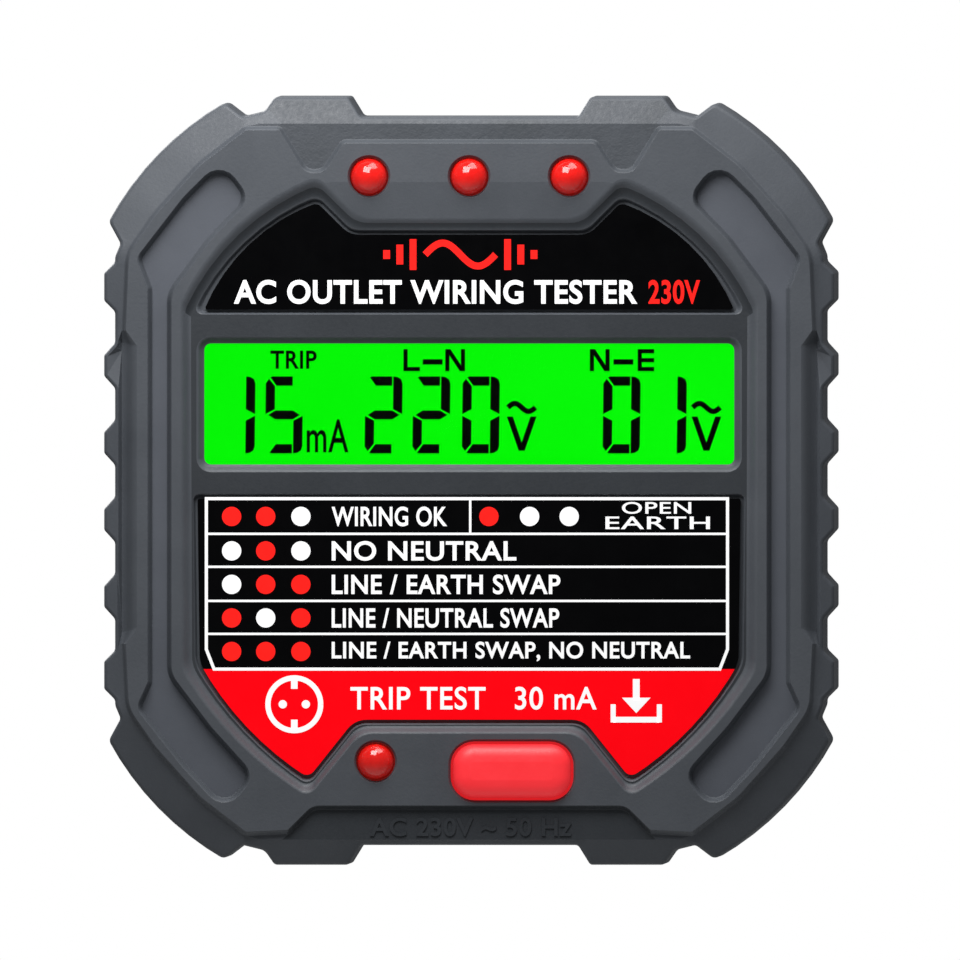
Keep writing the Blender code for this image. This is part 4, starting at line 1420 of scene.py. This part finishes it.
def press_mark(marks, x, z):
    """An arrow that points down at a push button."""
    marks.bar((x, z + 0.0021), (x, z + 0.0002), 0.00062)
    tip = [(x - 0.0013, z + 0.0004), (x + 0.0013, z + 0.0004), (x, z - 0.0010)]
    marks.shape(tip)
    marks.bar((x - 0.0021, z - 0.0016), (x + 0.0021, z - 0.0016), 0.00052)
    for side in (-1, 1):
        marks.bar((x + side * 0.0021, z - 0.00185), (x + side * 0.0021, z - 0.0002), 0.00046)


# ---------------------------------------------------------------- display

SEGMENTS = {
    "0": "abcdef",
    "1": "bc",
    "2": "abged",
    "3": "abgcd",
    "4": "fgbc",
    "5": "afgcd",
    "6": "afgedc",
    "7": "abc",
    "8": "abcdefg",
    "9": "abcdfg",
}
DIGIT_LOW, DIGIT_HIGH = 0.0025, 0.0095
DIGIT_WIDTH = 0.00338
STROKE = 0.00084
CAPTION_LOW = 0.00998
LEAN = 0.012  # sideways lean of the figures, as a share of their height


def segment_shapes(x):
    """The seven segments of a figure whose left edge is at x, as lists of corners.

    Coordinates are first taken from the left edge and from the middle height.
    """
    half = (DIGIT_HIGH - DIGIT_LOW) / 2
    middle_z = (DIGIT_HIGH + DIGIT_LOW) / 2
    s, slit, width = STROKE, STROKE * 0.06, DIGIT_WIDTH
    upper = {
        "a": [
            (0.50 * s, half - 0.10 * s),
            (0.70 * s, half),
            (width - s - 2 * slit, half),
            (width - s - 2 * slit, half - s),
            (1.15 * s, half - s),
        ],
        "f": [
            (0.34 * s, half - 0.26 * s),
            (s, half - 1.05 * s),
            (s, 0.62 * s),
            (0.0, 0.10 * s),
            (0.0, half - 0.75 * s),
        ],
        "b": [
            (width - s, half),
            (width - 0.55 * s, half - 0.06 * s),
            (width - 0.15 * s, half - 0.32 * s),
            (width, half - 0.80 * s),
            (width, 0.10 * s),
            (width - s, 0.62 * s),
        ],
    }
    shapes = dict(upper)
    for name, twin in (("a", "d"), ("f", "e"), ("b", "c")):
        shapes[twin] = [(across, -up) for across, up in upper[name]]
    reach = 0.30 * s
    shapes["g"] = [
        (reach, 0.0),
        (s + slit, 0.48 * s),
        (width - s - slit, 0.48 * s),
        (width - reach, 0.0),
        (width - s - slit, -0.48 * s),
        (s + slit, -0.48 * s),
    ]
    placed = {}
    for name, corners in shapes.items():
        placed[name] = [(x + across + LEAN * up, middle_z + up) for across, up in corners]
    return placed


def digits(marks, text, xs):
    for figure, x in zip(text, xs):
        shapes = segment_shapes(x)
        for name in SEGMENTS[figure]:
            marks.shape(shapes[name])


def capital(marks, letter, x, z, width, height, stroke):
    """A drawn capital, or a dash, in a box whose lower left corner is (x, z)."""
    top, right = z + height, x + width
    slant = stroke * 1.25
    left_bar = [(x, z), (x, top), (x + stroke, top), (x + stroke, z)]
    base = [(x, z), (x, z + stroke), (right, z + stroke), (right, z)]
    rises = [(right - stroke, z), (right - stroke, top), (right, top), (right, z)]
    falls = [(x, top), (x + slant, top), (right, z), (right - slant, z)]
    centre = (x + right) / 2
    parts = {
        "L": [left_bar, base],
        "N": [left_bar, rises, falls],
        "E": [left_bar, base]
        + [[(px, pz + up) for px, pz in base] for up in ((height - stroke) / 2, height - stroke)],
        "V": [
            [(x, top), (x + stroke, top), (centre, z + stroke * 1.4), (centre - stroke / 2, z)],
            [(right - stroke, top), (right, top), (centre + stroke / 2, z), (centre, z + stroke * 1.4)],
            [(centre - stroke / 2, z), (centre, z + stroke * 1.4), (centre + stroke / 2, z)],
        ],
        "-": [base],
    }
    for part in parts[letter]:
        marks.shape(part)


def caption(marks, text, xs, widths):
    """A drawn caption above a reading."""
    for letter, x, width in zip(text, xs, widths):
        if letter == "-":
            capital(marks, letter, x, CAPTION_LOW + 0.0006, width, 0.0005, 0.00048)
        else:
            capital(marks, letter, x, CAPTION_LOW, width, 0.00200, 0.00038)


def tilde(marks, x, z, width):
    """The alternating-current sign."""
    path = []
    for step in range(17):
        turn = 2 * math.pi * step / 16
        path.append((x + width * step / 16, z + 0.00036 * math.sin(turn)))
    marks.line(path, 0.00048)


class OUTLET_OT_display(bpy.types.Operator):
    """Makes the lit display, its segments and the window over it"""

    bl_idname = "outlet.display"
    bl_label = "Display"

    def execute(self, context):
        points = outline(node_corners("lcd_glass", 0.0005))
        cell = slab("lit_cell", points, GLASS_FACE_Y, GLASS_BACK_Y, finish_of("lcd"), 0.0002)
        settle(cell, BODY, "display_glass", "lcd_glass")
        points = outline(node_corners("display_window", 0.0008))
        far_y = high("display_window").y
        lens = slab("clear_window", points, WINDOW_Y, far_y, finish_of("window"), 0.0001)
        settle(lens, BODY, "clear_window", "display_window")

        trip, mains, earth = context.scene.tester.readings.split()
        marks = Print(GLASS_FACE_Y)
        digits(marks, trip, (-0.02288, -0.01855))
        digits(marks, mains, (-0.0095, -0.00515, -0.00065))
        digits(marks, earth, (0.01215, 0.01635))
        marks.words("mA", -0.0148, 0.0026, -0.0110, 0.0056, 0.010)
        for x in (0.0036, 0.0204):
            capital(marks, "V", x - 0.0002, 0.00275, 0.0027, 0.0031, 0.00055)
            tilde(marks, x - 0.0001, 0.00668, 0.0025)
        marks.words("TRIP", -0.0181, 0.0102, -0.0139, 0.01185, 0.020)
        caption(marks, "L-N", (-0.0060, -0.00425, -0.00220), (0.0015, 0.0018, 0.0018))
        caption(marks, "N-E", (0.01095, 0.0131, 0.0153), (0.0018, 0.0018, 0.0015))
        marks.made("display_segments", finish_of("segment"), slot_name="display_glass")
        return {"FINISHED"}


# ---------------------------------------------------------------- lamps and button


class OUTLET_OT_lamps(bpy.types.Operator):
    """Casts the four red lamps"""

    bl_idname = "outlet.lamps"
    bl_label = "Lamps"

    def execute(self, context):
        for lamp in LAMPS:
            start, end = low(lamp), high(lamp)
            place = (start + end) / 2
            dome_y = start.y + LAMP_RADIUS
            profile = [(0.0019, end.y), (0.0019, end.y - 0.0008), (0.00185, end.y - 0.0009)]
            profile.append((LAMP_RADIUS, end.y - 0.0009))
            for step in range(12):
                angle = math.radians(90) * step / 12
                out, rise = LAMP_RADIUS * math.cos(angle), LAMP_RADIUS * math.sin(angle)
                profile.append((out, dome_y - rise))
            profile.append((0.00008, start.y))
            piece = turned(lamp + "_dome", profile, place.x, place.z, finish_of("lamp"))
            settle(piece, BODY, "lamp", lamp)
        return {"FINISHED"}


STEM_RADIUS = 0.0013


def button_corners(grow=0.0):
    """The outline of the button's cap, without its retaining flange."""
    half_x, half_z = 0.00535 + grow, 0.00243 + grow
    args = (BUTTON_X - half_x, BUTTON_Z - half_z, BUTTON_X + half_x, BUTTON_Z + half_z)
    return box_corners(*args, 0.0019 + grow)


class OUTLET_OT_button(bpy.types.Operator):
    """Moulds the test button"""

    bl_idname = "outlet.button"
    bl_label = "Test button"

    def execute(self, context):
        skin = Skin()
        front_y = low("test_button").y
        corners = button_corners()
        flange_y = FRONT_WALL_Y + 0.0003
        crown = [(0.0016, 0.0), (0.0011, 0.00006), (0.0007, 0.00018), (0.00038, 0.00038)]
        crown += [(0.00016, 0.00066), (0.00004, 0.00098), (0.0, 0.0014)]
        loops = []
        for inward, drop in crown:
            loops.append(skin.loop(outline(corners, inward, 10), front_y + drop))
        skin.fill(loops[0])
        loops.append(skin.loop(outline(corners, 0.0, 10), flange_y))
        for out, y in ((0.0006, flange_y), (0.0007, flange_y + 0.0001), (0.0007, flange_y + 0.0009)):
            loops.append(skin.loop(outline(corners, -out, 10), y))
        skin.walls(loops)
        place = middle("test_button")
        stem_top = skin.loop(circle(place.x, place.z, STEM_RADIUS, 32), loops[-1][0].co.y)
        stem_end = skin.loop(circle(place.x, place.z, STEM_RADIUS, 32), high("test_button").y)
        skin.fill(loops[-1], [stem_top])
        skin.wall(stem_top, stem_end)
        skin.fill(stem_end)
        piece = skin.made("red_button", [finish_of("button")])
        settle(piece, BUTTON_BODY, "button", "test_button")
        return {"FINISHED"}


# ---------------------------------------------------------------- plug


class OUTLET_OT_plug(bpy.types.Operator):
    """Turns the pins and finishes the plug's boss and the housing screws"""

    bl_idname = "outlet.plug"
    bl_label = "Plug"

    def execute(self, context):
        dress(frame["nodes"]["plug_boss"], "plug")
        for pin in ("pin_live", "pin_neutral"):
            self.pin(pin)
        for screw in HOUSING_SCREWS:
            dress(frame["nodes"][screw], "screw")
        return {"FINISHED"}

    def pin(self, name):
        start, end = low(name), high(name)
        place = (start + end) / 2
        tip = 0.0017  # rounding of the pin's end
        profile = [
            (PIN_TAIL_RADIUS, start.y),
            (PIN_TAIL_RADIUS, COLLAR_Y - COLLAR_LENGTH),
            (COLLAR_RADIUS, COLLAR_Y - COLLAR_LENGTH),
            (COLLAR_RADIUS, COLLAR_Y),
            (PIN_RADIUS, COLLAR_Y),
            (PIN_RADIUS, end.y - tip),
        ]
        for step in range(1, 9):
            angle = math.radians(90) * step / 8
            radius = PIN_RADIUS - tip + tip * math.cos(angle)
            profile.append((radius, end.y - tip + tip * math.sin(angle)))
        piece = turned(name + "_turned", profile, place.x, place.z, finish_of("pin"))
        settle(piece, BODY, "plug_metal", name)


def smoothing_group():
    """A node group that shades smooth across edges blunter than 30 degrees."""
    group = bpy.data.node_groups.get("smooth over blunt edges")
    if group:
        return group
    group = bpy.data.node_groups.new("smooth over blunt edges", "GeometryNodeTree")
    group.interface.new_socket("Mesh", in_out="INPUT", socket_type="NodeSocketGeometry")
    group.interface.new_socket("Mesh", in_out="OUTPUT", socket_type="NodeSocketGeometry")
    start = node(group, "NodeGroupInput")
    angle = node(group, "GeometryNodeInputMeshEdgeAngle")
    blunt = node(
        group,
        "FunctionNodeCompare",
        {"operation": "LESS_THAN", 1: math.radians(30)},
        {0: angle.outputs["Unsigned Angle"]},
    )
    faces = node(
        group,
        "GeometryNodeSetShadeSmooth",
        {"domain": "FACE", "Shade Smooth": True},
        {"Geometry": start.outputs["Mesh"]},
    )
    edges = node(
        group,
        "GeometryNodeSetShadeSmooth",
        {"domain": "EDGE"},
        {"Geometry": faces.outputs["Geometry"], "Shade Smooth": blunt.outputs["Result"]},
    )
    node(group, "NodeGroupOutput", links={"Mesh": edges.outputs["Geometry"]})
    return group


def dress(piece, finish_name):
    """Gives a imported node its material, on every slot, and smooths its round faces."""
    piece.modifiers.new("join corners", "WELD").merge_threshold = 0.000001
    piece.modifiers.new("smooth round faces", "NODES").node_group = smoothing_group()
    finish = finish_of(finish_name)
    if not piece.data.materials:
        piece.data.materials.append(finish)
    for index in range(len(piece.data.materials)):
        piece.data.materials[index] = finish


INNER_FINISHES = {
    "pin": ("earth_clip_top", "earth_clip_bottom", "earth_bridge"),
    "screw": tuple(f"board_screw_{n}" for n in (1, 2, 3, 4)) + ("carrier_screw_1", "carrier_screw_2"),
    "black": (
        "pin_carrier",
        "display_holder",
        "led_spacer_left",
        "led_spacer_centre",
        "led_spacer_right",
        "led_spacer_trip",
        "switch_plunger",
        "microcontroller",
        "rectifier",
        "trip_thyristor",
    ),
    "guide": ("backlight",),
    "contact": ("contact_strip_top", "contact_strip_bottom"),
    "board": ("main_board",),
    "tin": ("switch_body", "crystal"),
    "film_case": ("film_capacitor",),
    "sleeve": ("electrolytic_capacitor",),
    "blue": ("varistor", "wire_neutral"),
    "fuse_tube": ("fuse",),
    "sand": ("power_resistor_1", "power_resistor_2"),
    "brown": ("wire_live",),
    "green": ("wire_earth",),
}


class OUTLET_OT_inside(bpy.types.Operator):
    """Gives the parts inside their materials"""

    bl_idname = "outlet.inside"
    bl_label = "Inside"

    def execute(self, context):
        for finish_name, nodes in INNER_FINISHES.items():
            for name in nodes:
                dress(frame["nodes"][name], finish_name)
        return {"FINISHED"}


# ---------------------------------------------------------------- stage

AIM_X, AIM_Z = 0.0010, 0.0001  # what the camera centres on


class OUTLET_OT_stage(bpy.types.Operator):
    """Sets up the floor, the lights and the camera"""

    bl_idname = "outlet.stage"
    bl_label = "Stage"

    def execute(self, context):
        studio = context.scene.studio
        context.scene.view_settings.view_transform = "Standard"
        self.floor()
        self.world(studio)
        self.camera(studio)
        soft_light("key_light", (-0.035, -0.135, 0.115), 0.09, studio.key_power, (1.0, 1.0, 1.0))
        soft_light("back_light", (-0.25, 0.30, 0.28), 0.30, studio.back_power, (1.0, 1.0, 1.0))
        soft_light("top_light", (0.07, -0.11, 0.24), 0.16, studio.top_power, (1.0, 1.0, 1.0))
        return {"FINISHED"}

    def floor(self):
        mesh = bmesh.new()
        bmesh.ops.create_grid(mesh, x_segments=8, y_segments=8, size=1.2)
        sheet = bpy.data.meshes.new("studio_floor")
        mesh.to_mesh(sheet)
        mesh.free()
        sheet.materials.append(finish_of("paper"))
        floor = bpy.data.objects.new("studio_floor", sheet)
        floor.location.z = -0.35
        bpy.context.scene.collection.objects.link(floor)

    def world(self, studio):
        """White to the camera, softer as a light."""
        world = bpy.data.worlds.new("studio")
        bpy.context.scene.world = world
        world.use_nodes = True
        tree = world.node_tree
        tree.nodes.clear()
        rays = node(tree, "ShaderNodeLightPath")
        seen = node(tree, "ShaderNodeBackground", {"Color": (*studio.backdrop, 1.0), "Strength": 1.0})
        cast = node(tree, "ShaderNodeBackground", {"Color": (0.95, 0.97, 1.0, 1.0), "Strength": 0.15})
        both = node(
            tree,
            "ShaderNodeMixShader",
            links={
                "Fac": rays.outputs["Is Camera Ray"],
                1: cast.outputs["Background"],
                2: seen.outputs["Background"],
            },
        )
        node(tree, "ShaderNodeOutputWorld", links={"Surface": both.outputs["Shader"]})

    def camera(self, studio):
        lens = bpy.data.cameras.new("camera")
        lens.type = "ORTHO"
        lens.ortho_scale = studio.view_width
        lens.clip_start, lens.clip_end = 0.01, 10.0
        camera = bpy.data.objects.new("camera", lens)
        bpy.context.scene.collection.objects.link(camera)
        bpy.context.scene.camera = camera
        target = Vector((AIM_X, FRONT_Y, AIM_Z))
        away = Vector(
            (
                math.sin(studio.azimuth) * math.cos(studio.elevation),
                -math.cos(studio.azimuth) * math.cos(studio.elevation),
                math.sin(studio.elevation),
            )
        )
        camera.location = target + away * 0.8
        camera.rotation_euler = (target - camera.location).to_track_quat("-Z", "Y").to_euler()


def soft_light(name, place, size, power, colour):
    """A square area light aimed at the display."""
    lamp = bpy.data.lights.new(name, "AREA")
    lamp.shape = "SQUARE"
    lamp.size = size
    lamp.energy = power
    lamp.color = colour
    item = bpy.data.objects.new(name, lamp)
    bpy.context.scene.collection.objects.link(item)
    item.location = place
    aim = Vector((0.0, FRONT_Y, 0.0)) - item.location
    item.rotation_euler = aim.to_track_quat("-Z", "Y").to_euler()


# ---------------------------------------------------------------- add-on


class OUTLET_PT_panel(bpy.types.Panel):
    """Lists the tester's settings and its pieces"""

    bl_idname = "OUTLET_PT_panel"
    bl_label = "Outlet Tester"
    bl_space_type = "VIEW_3D"
    bl_region_type = "UI"
    bl_category = "Outlet Tester"

    def draw(self, context):
        layout = self.layout
        for group in (context.scene.tester, context.scene.studio):
            column_of = layout.column(align=True)
            for name in group.__annotations__:
                column_of.prop(group, name)
        for operator in OPERATORS:
            layout.operator(operator.bl_idname)


OPERATORS = (
    OUTLET_OT_stage,
    OUTLET_OT_front_housing,
    OUTLET_OT_rear_housing,
    OUTLET_OT_labels,
    OUTLET_OT_display,
    OUTLET_OT_lamps,
    OUTLET_OT_button,
    OUTLET_OT_plug,
    OUTLET_OT_inside,
)
CLASSES = (TesterSettings, StudioSettings, *OPERATORS, OUTLET_PT_panel)


def register():
    for item in CLASSES:
        bpy.utils.register_class(item)
    bpy.types.Scene.tester = bpy.props.PointerProperty(type=TesterSettings)
    bpy.types.Scene.studio = bpy.props.PointerProperty(type=StudioSettings)


def unregister():
    del bpy.types.Scene.studio
    del bpy.types.Scene.tester
    for item in reversed(CLASSES):
        bpy.utils.unregister_class(item)


def main():
    for item in [o for o in bpy.data.objects if o.name in ("Cube", "Light", "Camera")]:
        bpy.data.objects.remove(item)
    register()
    for operator in OPERATORS:
        group, name = operator.bl_idname.split(".")
        getattr(getattr(bpy.ops, group), name)()


if __name__ == "__main__":
    main()
